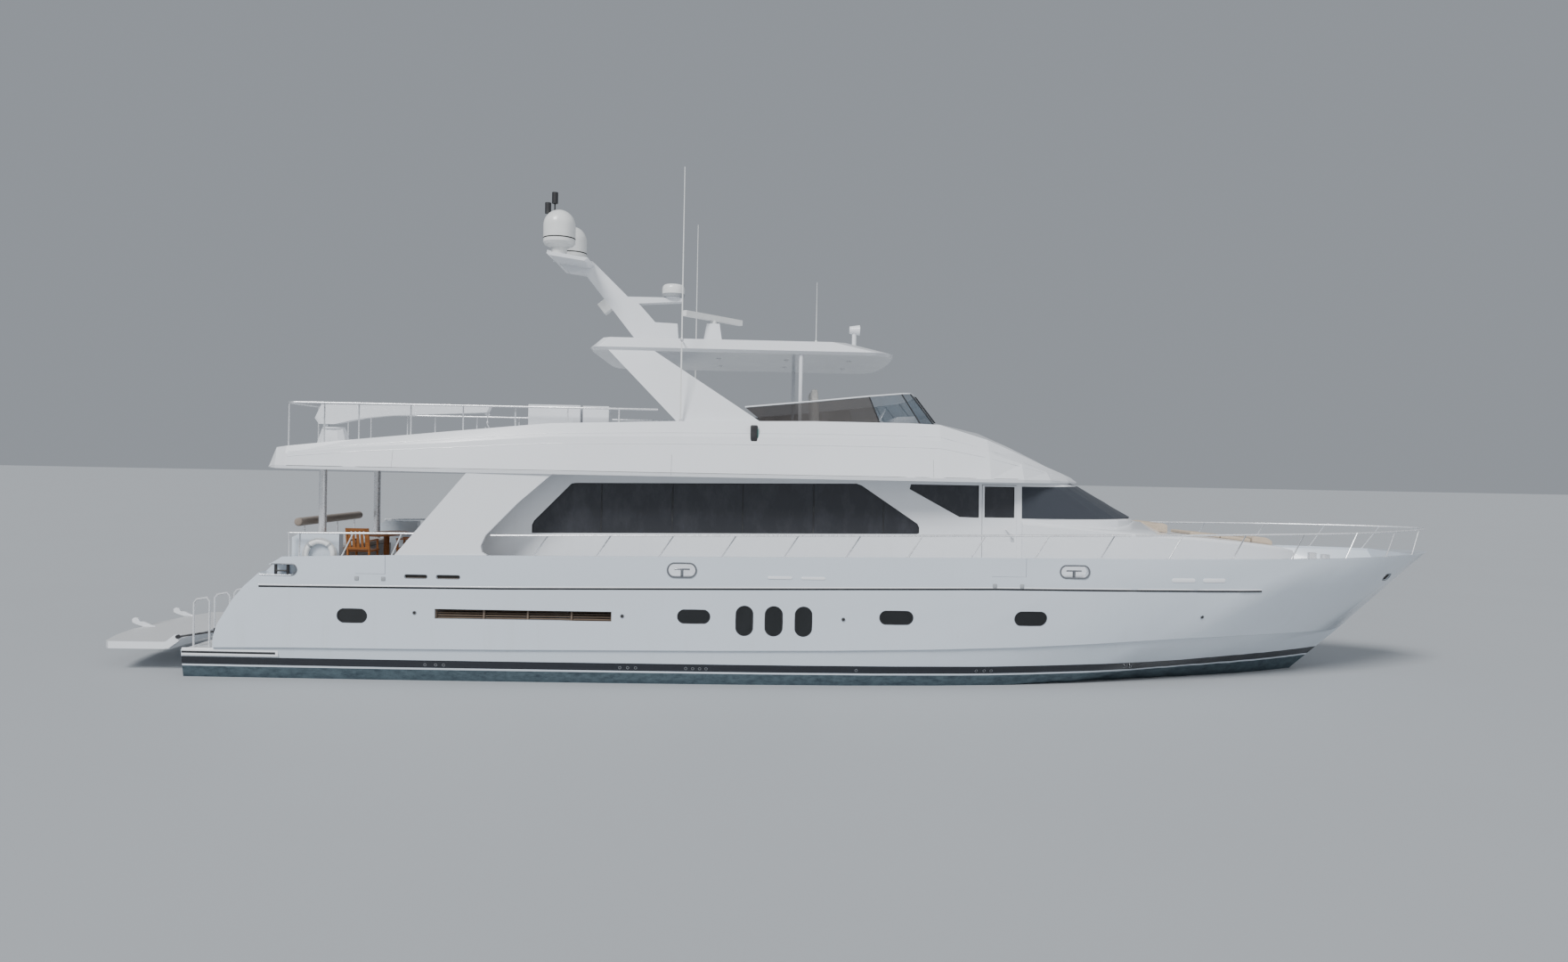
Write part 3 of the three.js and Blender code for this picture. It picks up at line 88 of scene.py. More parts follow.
# Portlights through the topsides: x0, x1, z0, z1
LONG_PORTLIGHTS = (
    (-10.22, -9.56, 1.25, 1.57), (-2.92, -2.20, 1.35, 1.67), (1.46, 2.21, 1.39, 1.71), (4.43, 5.17, 1.39, 1.73),
)
TALL_PORTLIGHTS = ((-1.66, -1.27, 1.10, 1.77), (-1.03, -0.63, 1.10, 1.77), (-0.38, 0.01, 1.10, 1.77))
ROUND_VENTS = ((-8.55, 1.50), (-4.10, 1.50), (0.68, 1.50), (8.79, 1.60))
FAIRLEADS = ((-3.13, -2.53, 2.37, 2.66), (5.42, 6.05, 2.48, 2.74))
STERN_FAIRLEAD = (-11.93, -11.10, 2.27, 2.48)
HAWSE = (13.74, 14.07, 2.33, 2.52)
SCUPPERS = ((-8.76, -8.29, 2.25, 2.315), (-8.08, -7.59, 2.25, 2.315))
BLANK_PADS = (
    (-0.98, -0.45, 2.355, 2.415), (-0.25, 0.27, 2.355, 2.415), (7.94, 8.49, 2.40, 2.49), (8.67, 9.21, 2.40, 2.49),
)
THRU_HULLS = (-8.35, -8.12, -7.95, -4.15, -3.98, -3.81, -2.72, -2.57, -2.42, -2.28, 1.0, 3.68, 3.86, 4.02, 7.2, 7.34)
THRU_HULL_Z = 0.36
THRU_HULL_RISE = 0.011
GATE_PADS = ((-9.79, 2.22), (-9.22, 2.22), (3.97, 2.28), (4.57, 2.28))
RAIL_FLANGES = (
    -6.05, -4.7, -3.35, -2.0, -0.65, 0.7, 2.05, 3.43, 4.84, 6.3, 7.85, 9.36, 10.8, 12.26, 13.56, 14.6,
)
RUB_LINE = ((-11.9, 2.01), (-9.0, 2.035), (-6.75, 2.05), (-0.63, 2.14), (4.03, 2.21), (7.32, 2.21), (10.12, 2.20))
SALOON_MULLIONS = (-4.70, -3.12, -1.55, 0.04, 1.62)


# Selecting and shaping

def deselect():
    if bpy.context.mode != "OBJECT":
        bpy.ops.object.mode_set(mode="OBJECT")
    bpy.ops.object.select_all(action="DESELECT")


def only(piece):
    deselect()
    piece.select_set(True)
    bpy.context.view_layer.objects.active = piece


def edit(piece, kind="FACE"):
    """Open a piece in edit mode with all of it selected."""
    only(piece)
    bpy.context.tool_settings.mesh_select_mode = (kind == "VERT", kind == "EDGE", kind == "FACE")
    bpy.ops.object.mode_set(mode="EDIT")
    bpy.ops.mesh.select_all(action="SELECT")


def done():
    bpy.ops.object.mode_set(mode="OBJECT")


def edit_faces(piece, test):
    """Open a piece with the faces selected whose centre and normal pass the test."""
    edit(piece, "FACE")
    bpy.ops.mesh.select_all(action="DESELECT")
    done()
    for face in piece.data.polygons:
        face.select = test(face.center, face.normal)
    bpy.ops.object.mode_set(mode="EDIT")


def edit_points(piece, test):
    """Open a piece with the points selected that pass the test."""
    edit(piece, "VERT")
    bpy.ops.mesh.select_all(action="DESELECT")
    done()
    for point in piece.data.vertices:
        point.select = test(point.co)
    bpy.ops.object.mode_set(mode="EDIT")


def settle(piece):
    """Put a piece's place into its mesh."""
    only(piece)
    bpy.ops.object.transform_apply(location=True, rotation=True, scale=True)
    return piece


def modify(piece, kind, **settings):
    """Add a modifier, set it and apply it."""
    only(piece)
    modifier = piece.modifiers.new(kind.title(), kind)
    for key, value in settings.items():
        setattr(modifier, key, value)
    bpy.ops.object.modifier_apply(modifier=modifier.name)
    return piece


def smooth(piece, degrees=35):
    only(piece)
    bpy.ops.object.shade_smooth_by_angle(angle=math.radians(degrees))
    return piece


def both_sides(piece):
    """Mirror a starboard piece to port within one mesh."""
    return modify(piece, "MIRROR", use_axis=(False, True, False), use_mirror_merge=False)


def twin(piece):
    """A port copy of a starboard piece, with its own mesh."""
    copy = piece.copy()
    copy.data = piece.data.copy()
    bpy.context.collection.objects.link(copy)
    copy.scale.y = -1
    settle(copy)
    edit(copy)
    bpy.ops.mesh.normals_make_consistent(inside=False)
    done()
    return copy


def joined(pieces):
    deselect()
    for piece in pieces:
        piece.select_set(True)
    bpy.context.view_layer.objects.active = pieces[0]
    if len(pieces) > 1:
        bpy.ops.object.join()
    return bpy.context.view_layer.objects.active


def placed(piece, matrix):
    piece.matrix_world = matrix
    return settle(piece)


def mirrored(point):
    return Vector((point.x, -point.y, point.z))


def remove(piece):
    bpy.data.objects.remove(piece, do_unlink=True)


# Starting forms

def added(operator, **settings):
    """The object that an adding operator makes, with nothing else selected."""
    deselect()
    operator(**settings)
    return bpy.context.object


def bevel_selected(offset, segments=3):
    bpy.ops.mesh.bevel(offset=offset, segments=segments, affect="EDGES")
    done()


def block(x0, x1, y0, y1, z0, z1, bevel=0.0, segments=2):
    piece = settle(added(
        bpy.ops.mesh.primitive_cube_add, size=1, location=((x0 + x1) / 2, (y0 + y1) / 2, (z0 + z1) / 2),
        scale=(x1 - x0, y1 - y0, z1 - z0),
    ))
    if bevel:
        edit(piece, "EDGE")
        bevel_selected(bevel, segments)
    return piece


def disc(radius, depth, place, axis=(0, 0, 1), sides=32, bevel=0.0, top=None):
    """A short cylinder centred on a place, its ends square to an axis."""
    turn = Vector((0, 0, 1)).rotation_difference(Vector(axis)).to_euler()
    piece = added(
        bpy.ops.mesh.primitive_cone_add, vertices=sides, radius1=radius, radius2=radius if top is None else top,
        depth=depth, location=place, rotation=turn,
    )
    if bevel:
        edit_faces(piece, lambda centre, normal: abs(normal.z) > 0.9)
        bevel_selected(bevel)
    return settle(piece)


def rod(start, end, radius, sides=16, end_radius=None, bevel=0.0):
    start, end = Vector(start), Vector(end)
    return disc(radius, (end - start).length, (start + end) / 2, (end - start).normalized(), sides, bevel, end_radius)


def tube(points, radius, closed=False, sides=3, rounded=0.0, flat=0.0):
    """A swept strip or tube through points; flat adds to its height."""
    path = added(bpy.ops.curve.primitive_nurbs_path_add, location=(0, 0, 0))
    line = path.data
    line.splines.clear()
    points = [Vector(point) for point in points]
    if rounded:
        points = rounded_corners(points, rounded, closed)
    spline = line.splines.new("POLY")
    spline.points.add(len(points) - 1)
    for knot, point in zip(spline.points, points):
        knot.co = (*point, 1)
    spline.use_cyclic_u = closed
    line.dimensions = "3D"
    line.twist_mode = "Z_UP" if flat else "MINIMUM"
    line.bevel_depth = radius
    line.bevel_resolution = sides
    line.extrude = flat
    line.use_fill_caps = True
    only(path)
    bpy.ops.object.convert(target="MESH")
    piece = settle(bpy.context.object)
    edit(piece)
    bpy.ops.mesh.remove_doubles(threshold=0.0002)
    bpy.ops.mesh.normals_make_consistent(inside=False)
    done()
    return smooth(piece, 50)


def rounded_corners(points, radius, closed, steps=5):
    count = len(points)
    result = []
    for i, corner in enumerate(points):
        if not closed and i in (0, count - 1):
            result.append(corner)
            continue
        before, after = points[i - 1] - corner, points[(i + 1) % count] - corner
        reach = min(radius, before.length * 0.49, after.length * 0.49)
        a, b = corner + before.normalized() * reach, corner + after.normalized() * reach
        for step in range(steps + 1):
            t = step / steps
            result.append(a * (1 - t) ** 2 + corner * (2 * t * (1 - t)) + b * t ** 2)
    return result


def stadium(width, height, depth, sides=32):
    """A flat oval plate in its own x, y plane, its back on z = 0."""
    small = min(width, height)
    piece = added(
        bpy.ops.mesh.primitive_cylinder_add, vertices=sides, radius=small / 2, depth=depth, location=(0, 0, 0))
    stretch = (max(width, height) - small) / 2
    axis = 0 if width > height else 1
    for way in (-1, 1):
        edit_points(piece, lambda point, way=way: point[axis] * way > 0.001)
        shift = [0, 0, 0]
        shift[axis] = stretch * way
        bpy.ops.transform.translate(value=shift)
        done()
    edit(piece)
    bpy.ops.transform.translate(value=(0, 0, depth / 2))
    done()
    return piece


def ring_plate(width, height, border, depth):
    """An oval frame: a plate whose middle is inset and cut away."""
    piece = stadium(width, height, depth)
    for way in (-1, 1):
        edit_faces(piece, lambda centre, normal, way=way: normal.z * way > 0.9)
        bpy.ops.mesh.inset(thickness=border, depth=0)
        done()
    inner = min(width, height) / 2 - border * 0.5

    def is_middle(centre, normal):
        return abs(normal.z) > 0.9 and centre.xy.length < inner * 0.5

    edit_faces(piece, is_middle)
    bpy.ops.mesh.bridge_edge_loops()
    done()
    return piece


def turned(profile, x, y, sides=40):
    """A turned form: a filled circle drawn up ring by ring; rows are radius, height."""
    radius, height = profile[0]
    piece = settle(added(
        bpy.ops.mesh.primitive_circle_add, vertices=sides, radius=radius, fill_type="NGON", location=(x, y, height)))
    edit(piece)
    for next_radius, next_height in profile[1:]:
        bpy.ops.mesh.extrude_region_move(TRANSFORM_OT_translate={"value": (0, 0, next_height - height)})
        share = next_radius / radius
        bpy.ops.transform.resize(value=(share, share, 1), center_override=(x, y, next_height))
        radius, height = next_radius, next_height
    bpy.ops.mesh.select_all(action="SELECT")
    bpy.ops.mesh.normals_make_consistent(inside=False)
    done()
    return piece


def ribbon(start, end, width, thick, outward):
    """A flat strip laid from one point to another."""
    start, end, outward = Vector(start), Vector(end), Vector(outward)
    run = (end - start).normalized()
    side = run.cross(outward).normalized()
    piece = block(-width / 2, width / 2, 0, (end - start).length, -thick / 2, thick / 2)
    turn = Matrix((side, run, side.cross(run))).transposed().to_4x4()
    return placed(piece, Matrix.Translation(start) @ turn)


PAD_PRESSURE = 4.0
PAD_STEPS = 20


def puff(piece, voxel, cap, floor=None):
    """Swell a pad like filled cloth: remeshed, blown up, held to a cap, then smoothed."""
    settle(piece)
    piece.data.remesh_voxel_size = voxel
    only(piece)
    bpy.ops.object.voxel_remesh()
    start = [point.co.copy() for point in piece.data.vertices]
    cloth = piece.modifiers.new("Cloth", "CLOTH")
    cloth.settings.use_pressure = True
    cloth.settings.uniform_pressure_force = PAD_PRESSURE
    cloth.settings.effector_weights.gravity = 0
    for step in range(1, PAD_STEPS + 1):
        bpy.context.scene.frame_set(step)
    only(piece)
    bpy.ops.object.modifier_apply(modifier="Cloth")
    bpy.context.scene.frame_set(1)
    for point, before in zip(piece.data.vertices, start):
        shift = point.co - before
        if shift.length > cap:
            point.co = before + shift * (cap / shift.length)
    if floor is not None:
        for point in piece.data.vertices:
            point.co.z = max(point.co.z, floor)
    modify(piece, "SUBSURF", levels=1)
    return piece


# The yacht's own surfaces

TREES = {}
RAY_START = 8


def tree_of(node):
    """The node's faces, ready for rays."""
    if node not in TREES:
        mesh = NODES[node].data
        TREES[node] = BVHTree.FromPolygons(
            [point.co.copy() for point in mesh.vertices], [tuple(face.vertices) for face in mesh.polygons],
        )
    return TREES[node]


def cast(node, start, way):
    place, normal, _, _ = tree_of(node).ray_cast(Vector(start), Vector(way))
    if place is None:
        raise RuntimeError(f"{node} has nothing from {start} towards {way}")
    return place, normal


def hit(node, x, z, side=-1, proud=0.0):
    """The outer point and normal of a node seen square from its side at x, z."""
    place, normal = cast(node, (x, side * RAY_START, z), (0, -side, 0))
    return place + normal * proud, normal


def skin_matrix(x, z, proud=0.0, node="hull"):
    """Frame on the starboard skin: x forward, y up the side, z outwards."""
    place, normal = hit(node, x, z, -1, proud)
    up = (Vector((0, 0, 1)) - normal * normal.z).normalized()
    forward = up.cross(normal).normalized()
    return Matrix.Translation(place) @ Matrix((forward, up, normal)).transposed().to_4x4()


def on_skin(piece, x, z, proud=0.0, node="hull"):
    return placed(piece, skin_matrix(x, z, proud, node))


def along(knots, x):
    """A line through knots x, value, read at x."""
    for (x0, v0), (x1, v1) in zip(knots, knots[1:]):
        if x <= x1:
            return v0 + (max(x, x0) - x0) * (v1 - v0) / (x1 - x0)
    return knots[-1][1]


def deck_z(x):
    return along(DECK_LINE, x)


# Shaders

def arithmetic(operation, swapped=False):
    """A Wire's method for one operation, with its two sides swapped if wanted."""

    def method(self, other):
        return self.sum(operation, other, self) if swapped else self.sum(operation, self, other)

    return method


class Wire:
    """A shader socket that can be used in sums."""

    def __init__(self, shader, socket):
        self.shader = shader
        self.socket = socket

    def sum(self, operation, first, second):
        node = self.shader.node("ShaderNodeMath", {"operation": operation}, {0: first, 1: second})
        return Wire(self.shader, node.outputs[0])

    __add__ = __radd__ = arithmetic("ADD")
    __sub__ = arithmetic("SUBTRACT")
    __rsub__ = arithmetic("SUBTRACT", swapped=True)
    __mul__ = __rmul__ = arithmetic("MULTIPLY")
    __mod__ = arithmetic("FLOORED_MODULO")
    __gt__ = arithmetic("GREATER_THAN")
    __lt__ = arithmetic("LESS_THAN")


class Shader:
    """One material's node tree, built from Object coordinates."""

    def __init__(self, name):
        self.material = bpy.data.materials.new(name)
        self.material.use_nodes = True
        self.tree = self.material.node_tree
        self.body = self.tree.nodes["Principled BSDF"]
        self.place = Wire(self, self.node("ShaderNodeTexCoord").outputs["Object"])

    def node(self, kind, settings=None, inputs=None):
        node = self.tree.nodes.new(kind)
        for key, value in (settings or {}).items():
            setattr(node, key, value)
        for key, value in (inputs or {}).items():
            self.feed(node.inputs[key], value)
        return node

    def feed(self, socket, value):
        if isinstance(value, Wire):
            self.tree.links.new(value.socket, socket)
        elif socket.type == "RGBA" and len(value) == 3:
            socket.default_value = (*value, 1)
        else:
            socket.default_value = value

    def axes(self):
        node = self.node("ShaderNodeSeparateXYZ", None, {0: self.place})
        return [Wire(self, node.outputs[i]) for i in range(3)]

    def mapped(self, scale=(1, 1, 1), turn=(0, 0, 0)):
        node = self.node("ShaderNodeMapping", None, {"Vector": self.place, "Scale": scale, "Rotation": turn})
        return Wire(self, node.outputs[0])

    def noise(self, scale, detail=3.0, stretch=(1, 1, 1), rough=0.5):
        node = self.node("ShaderNodeTexNoise", None, {
            "Vector": self.mapped(stretch), "Scale": scale, "Detail": detail, "Roughness": rough,
        })
        return Wire(self, node.outputs[0])

    def waves(self, scale, axis, distortion=0.0, turn=(0, 0, 0)):
        node = self.node("ShaderNodeTexWave", {"bands_direction": axis}, {
            "Vector": self.mapped(turn=turn), "Scale": scale, "Distortion": distortion, "Detail": 2.0,
        })
        return Wire(self, node.outputs["Fac"])

    def range(self, value, low, high, to_low=0.0, to_high=1.0):
        node = self.node("ShaderNodeMapRange", None, {0: value, 1: low, 2: high, 3: to_low, 4: to_high})
        return Wire(self, node.outputs[0])

    def mix(self, factor, first, second):
        node = self.node("ShaderNodeMix", {"data_type": "RGBA"})
        self.feed(node.inputs[0], factor)
        self.feed(node.inputs[6], first)
        self.feed(node.inputs[7], second)
        return Wire(self, node.outputs[2])

    def tones(self, factor, colour, low, high):
        """A colour between two shades of itself."""
        return self.mix(factor, tinted(colour, low), tinted(colour, high))

    def stained(self, factor, base, colour, share):
        """A surface partly covered by a shade of a colour."""
        return self.mix(factor, base, tinted(colour, share))

    def bump(self, height, depth, strength=1.0):
        return Wire(self, self.node(
            "ShaderNodeBump", None, {"Height": height, "Distance": depth, "Strength": strength},
        ).outputs[0])

    def surface(self, **inputs):
        for key, value in inputs.items():
            self.feed(self.body.inputs[key.replace("_", " ")], value)
        return self.material


def tinted(colour, share):
    return tuple(min(1.0, channel * share) for channel in colour)


def gelcoat(name, colour):
    """Polished gelcoat: faint mould waves and soft run marks."""
    shader = Shader(name)
    cloud = shader.noise(0.7, 4)
    runs = shader.noise(2.6, 5, (1.6, 1.6, 0.16), 0.6)
    fine = shader.noise(55, 2)
    dull = shader.range(runs, 0.55, 0.85) * 0.22
    base = shader.tones(cloud, colour, 0.965, 1.02)
    base = shader.mix(dull, base, tinted((colour[0], colour[1] * 0.98, colour[2] * 0.93), 0.86))
    skin = shader.noise(1.3, 1) + fine * 0.05
    return shader.surface(
        Base_Color=base, Roughness=0.16 + cloud * 0.08 + dull * 0.5,
        Normal=shader.bump(skin, 0.006, 0.25), Coat_Weight=0.35, Coat_Roughness=0.06,
    )


# Heights of the waterline marks amidships, and their rise to the bow
BOOT_STRIPE = (0.285, 0.455)
ANTIFOULING_TOP = 0.245
STRIPE_RISE = 0.10


def hull_paint(name, colours):
    """Hull gelcoat with its boot stripe, antifouling and waterline marks."""
    # The hull colour is the gelcoat white drawn darker and bluer: painted shade and painted water reflection on the
    # outward-flaring topsides.
    colour = colours.hull
    shader = Shader(name)
    x, _, z = shader.axes()
    cloud = shader.noise(0.5, 4)
    runs = shader.noise(2.2, 5, (1.4, 1.4, 0.1), 0.65)
    fine = shader.noise(48, 2)
    rise = shader.range(x, 4.0, 13.0) * STRIPE_RISE
    height = z - rise
    marks = shader.range(runs, 0.56, 0.86) * shader.range(z, 0.4, 2.4, 0.34, 0.10)
    base = shader.tones(cloud, colour, 0.965, 1.015)
    base = shader.mix(marks, base, tinted((colour[0], colour[1] * 0.97, colour[2] * 0.90), 0.80))
    band = (height > BOOT_STRIPE[0]) * (height < BOOT_STRIPE[1])
    base = shader.mix(band, base, colours.boot_stripe)
    scum = shader.noise(5, 6, (1, 1, 2.4), 0.7)
    foul = shader.mix(shader.range(scum, 0.35, 0.75), colours.antifouling, (0.05, 0.08, 0.10))
    foul = shader.mix(shader.range(z, -0.05, 0.12) * shader.range(scum, 0.3, 0.7) * 0.5, foul, (0.11, 0.16, 0.18))
    below = height < ANTIFOULING_TOP
    base = shader.mix(below, base, foul)
    rough = 0.17 + cloud * 0.08 + marks * 0.4 + below * (0.3 + scum * 0.3)
    skin = shader.noise(0.9, 1) + fine * 0.04
    return shader.surface(
        Base_Color=base, Roughness=rough, Normal=shader.bump(skin, 0.008, 0.25),
        Coat_Weight=(1 - below) * 0.35, Coat_Roughness=0.06,
    )


def non_skid(name, colour):
    """Moulded diamond tread, a shade greyer than the gelcoat round it."""
    shader = Shader(name)
    tread = shader.waves(28, "X", turn=(0, 0, 0.785)) * shader.waves(28, "Y", turn=(0, 0, 0.785))
    worn = shader.noise(1.4, 5)
    base = shader.tones(worn, colour, 0.86, 0.96)
    base = shader.stained(shader.range(tread, 0.0, 0.35, 0.35, 0.0), base, colour, 0.7)
    return shader.surface(Base_Color=base, Roughness=0.42 + worn * 0.2, Normal=shader.bump(tread, 0.0012, 0.6))


def planked(name, colour, seam, pitch, groove, grain=1.0, gloss=0.5):
    """Planks laid fore and aft with seams between them."""
    shader = Shader(name)
    _, y, _ = shader.axes()
    across = (y + 100.0) % pitch
    joint = across < groove
    board = shader.noise(1.0 / pitch, 0, (0.05, 1, 1))
    lines = shader.noise(9, 6, (0.6, 14, 14), 0.65)
    base = shader.tones(shader.range(lines, 0.3, 0.75) * grain, colour, 0.78, 1.15)
    base = shader.stained(board * 0.4 * grain, base, colour, 0.6)
    base = shader.mix(joint, base, seam)
    height = lines * (0.12 * grain) + (1 - joint)
    return shader.surface(
        Base_Color=base, Roughness=gloss + lines * 0.2 - joint * 0.1, Normal=shader.bump(height, 0.0012, 0.5),
    )


def varnished(name, colour, stretch=(0.8, 10, 10)):
    """Oiled teak joinery with its grain along each piece."""
    shader = Shader(name)
    grain = shader.noise(6, 7, stretch, 0.62)
    pores = shader.noise(60, 2, (stretch[0] * 0.3, *stretch[1:]))
    base = shader.tones(shader.range(grain, 0.3, 0.72), colour, 0.55, 1.3)
    base = shader.stained(shader.range(pores, 0.6, 0.75) * 0.4, base, colour, 0.4)
    return shader.surface(
        Base_Color=base, Roughness=0.34 + grain * 0.2, Coat_Weight=0.25, Coat_Roughness=0.2,
        Normal=shader.bump(grain * 0.7 + pores * 0.3, 0.001, 0.5),
    )


def dark_glass(name, colour, alpha=1.0, coat=0.4):
    """Tinted glazing with salt haze."""
    shader = Shader(name)
    haze = shader.noise(2.2, 5, (1, 1, 0.5), 0.7)
    wavy = shader.noise(0.8, 1)
    base = shader.mix(shader.range(haze, 0.45, 0.8) * 0.5, colour, tinted(colour, 2.6))
    values = dict(
        Base_Color=base, Roughness=0.03 + shader.range(haze, 0.5, 0.9) * 0.12,
        Normal=shader.bump(wavy, 0.003, 0.2), IOR=1.5, Coat_Weight=coat, Coat_Roughness=0.02,
    )
    if alpha < 1:
        values["Alpha"] = alpha + shader.range(haze, 0.45, 0.85) * 0.12
        shader.material.surface_render_method = "BLENDED"
    return shader.surface(**values)


def metal(name, colour, rough, brush=(1, 1, 1), tarnish=None, amount=0.0, metallic=1.0):
    """Cast, polished or painted metal with handling marks."""
    shader = Shader(name)
    marks = shader.noise(9, 5, brush, 0.6)
    fine = shader.noise(120, 2, brush)
    base = shader.tones(marks, colour, 0.86, 1.08)
    if tarnish:
        base = shader.mix(shader.range(marks, 0.42, 0.75) * amount, base, tarnish)
    return shader.surface(
        Base_Color=base, Metallic=metallic, Roughness=rough + shader.range(marks, 0.4, 0.8) * 0.14,
        Normal=shader.bump(fine, 0.0003, 0.25),
    )


def coated(name, colour, rough, dust=(0.35, 0.34, 0.32), coat=0.0):
    """Paint, plastic or rubber with a fine texture and dust."""
    shader = Shader(name)
    patches = shader.noise(3.5, 5)
    grit = shader.noise(150, 3)
    base = shader.tones(patches, colour, 0.88, 1.08)
    base = shader.mix(shader.range(patches, 0.55, 0.85) * 0.14, base, dust)
    return shader.surface(
        Base_Color=base, Roughness=rough + patches * 0.12, Coat_Weight=coat, Coat_Roughness=0.1,
        Normal=shader.bump(grit, 0.0006, 0.35),
    )


def woven(name, colour, thread, fuzz=0.5):
    """Plain weave: crossing threads with slub, fading and soft soil."""
    shader = Shader(name)
    warp = shader.waves(thread, "X", 0.4)
    weft = shader.waves(thread, "Y", 0.4)
    rise = shader.waves(thread, "Z", 0.4)
    weave = warp * 0.4 + weft * 0.35 + rise * 0.25
    slub = shader.noise(18, 4)
    soil = shader.noise(1.6, 5)
    base = shader.tones(weave, colour, 0.78, 1.12)
    base = shader.stained(slub * 0.35, base, colour, 0.86)
    base = shader.stained(shader.range(soil, 0.5, 0.8) * 0.2, base, colour, 0.7)
    return shader.surface(
        Base_Color=base, Roughness=0.82, Sheen_Weight=fuzz * 0.3, Sheen_Roughness=0.5,
        Normal=shader.bump(weave + slub * 0.3, 0.0012, 0.6),
    )


def lens(name, colour):
    """Moulded lamp lens with its ribs."""
    shader = Shader(name)
    ribs = shader.waves(40, "Z")
    depth = shader.noise(6, 2)
    base = shader.tones(depth, colour, 0.7, 1.2)
    return shader.surface(
        Base_Color=base, Roughness=0.08 + depth * 0.06, Coat_Weight=0.6, Normal=shader.bump(ribs, 0.002, 0.4),
    )


FINISHES = {}


def make_finishes(colours):
    FINISHES.update(
        hull=hull_paint("hull_gelcoat", colours),
        white=gelcoat("white_gelcoat", tuple(colours.gelcoat)),
        tread=non_skid("moulded_tread", tuple(colours.gelcoat)),
        teak_deck=planked("laid_teak_deck", tuple(colours.deck), (0.02, 0.02, 0.02), 0.062, 0.006),
        pale_planks=planked("scored_platform_deck", (0.74, 0.75, 0.76), (0.34, 0.35, 0.37), 0.165, 0.008, 0.08, 0.36),
        # House windows and portlights are opaque and near black: their own tint, and painted shade for the unlit
        # rooms behind, which are not built.
        glass=dark_glass("tinted_glass", tuple(colours.glass)),
        screen=dark_glass("clear_screen", (0.07, 0.10, 0.13), 0.34),
        smoked=dark_glass("smoked_screen", (0.045, 0.040, 0.038), 0.62),
        port_glass=dark_glass("portlight_glass", (0.007, 0.008, 0.009), coat=0.1),
        # At metallic 0.55, part of the bright base shows as diffuse colour: a painted sheen for the bright sky that
        # polished stainless reflects.
        stainless=metal("polished_stainless", (0.86, 0.87, 0.89), 0.24, metallic=0.55),
        # Rims and cleats on the hull are stainless drawn as a darker copy: painted shade and dark painted reflection.
        steel=metal("shaded_polished_steel", (0.30, 0.31, 0.33), 0.2),
        bronze=metal("cast_bronze", (0.46, 0.30, 0.14), 0.32, tarnish=(0.16, 0.20, 0.13), amount=0.7),
        black=coated("satin_black", (0.018, 0.018, 0.021), 0.4),
        rubber=coated("black_rubber", (0.016, 0.017, 0.02), 0.62),
        engine=coated("engine_enamel", (0.42, 0.44, 0.46), 0.34, (0.08, 0.07, 0.06), 0.2),
        teak=varnished("oiled_teak", tuple(colours.teak)),
        fabric=woven("tan_canvas", tuple(colours.fabric), 90),
        taupe=woven("taupe_canvas", (0.28, 0.23, 0.19), 90),
        pale_fabric=woven("pale_canvas", (0.74, 0.72, 0.68), 90),
        plastic=coated("white_moulding", (0.80, 0.81, 0.80), 0.24, (0.6, 0.6, 0.56), 0.2),
        mesh=woven("windscreen_mesh", tuple(colours.mesh), 140, 0.2),
        louvre=coated("bronze_louvre", (0.16, 0.12, 0.09), 0.4),
        louvre_frame=coated("tan_louvre_frame", (0.46, 0.40, 0.30), 0.4),
        green=lens("green_lens", (0.01, 0.16, 0.13)),
        red=lens("red_lens", (0.35, 0.01, 0.01)),
        clear=lens("clear_lens", (0.55, 0.57, 0.58)),
        grey=coated("grey_moulding", (0.34, 0.36, 0.38), 0.36),
        # Painted shadow for openings, seams and joints.
        shadow=coated("painted_shadow", (0.02, 0.018, 0.016), 0.7),
    )


# Pieces


def finish(piece, name, finish_name, body=YACHT, degrees=35, slot=None):
    """Name a new piece, give it its finish and let it ride on its body."""
    piece.name = name
    piece.data.name = name
    piece.data.materials.clear()
    piece.data.materials.append(FINISHES[finish_name])
    smooth(piece, degrees)
    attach(piece, body)
    return piece


def finish_pair(pieces, *settings, **more):
    """Finish starboard pieces and their mirror images as one piece."""
    return finish(both_sides(joined(pieces)), *settings, **more)


def finish_twins(piece, name, finish_name, node):
    """Finish a starboard piece and its port twin, each on its own side's body."""
    other = twin(piece)
    finish(piece, f"{name}_starboard", finish_name, f"{node}_starboard")
    finish(other, f"{name}_port", finish_name, f"{node}_port")


def upholstered(piece, name, voxel, cap, floor=None, finish_name="pale_fabric"):
    """Swell a piece and cover it."""
    puff(piece, voxel, cap, floor)
    finish(piece, name, finish_name, degrees=60)
    return piece


def painted(finish_name, *nodes):
    """Give nodes whose shape stays their finish."""
    for node in nodes:
        for place in NODES[node].material_slots:
            place.link = "OBJECT"
            place.material = FINISHES[finish_name]


MERGE_REACH = 0.00002
FLAT_DEGREES = 0.4
BEVEL_DEGREES = 38


def copied(node, name, flatten=False):
    """A loose copy of a node with its doubles merged and, if wanted, its flat faces joined."""
    source = NODES[node]
    piece = source.copy()
    piece.data = source.data.copy()
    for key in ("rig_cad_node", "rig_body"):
        if key in piece:
            del piece[key]
    bpy.context.collection.objects.link(piece)
    piece.parent = None
    piece.matrix_world = Matrix.Identity(4)
    piece.name = name
    piece.data.name = piece.name
    only(piece)
    bpy.ops.mesh.customdata_custom_splitnormals_clear()
    edit(piece)
    bpy.ops.mesh.remove_doubles(threshold=MERGE_REACH)
    if flatten:
        bpy.ops.mesh.dissolve_limited(angle_limit=math.radians(FLAT_DEGREES))
    done()
    return piece


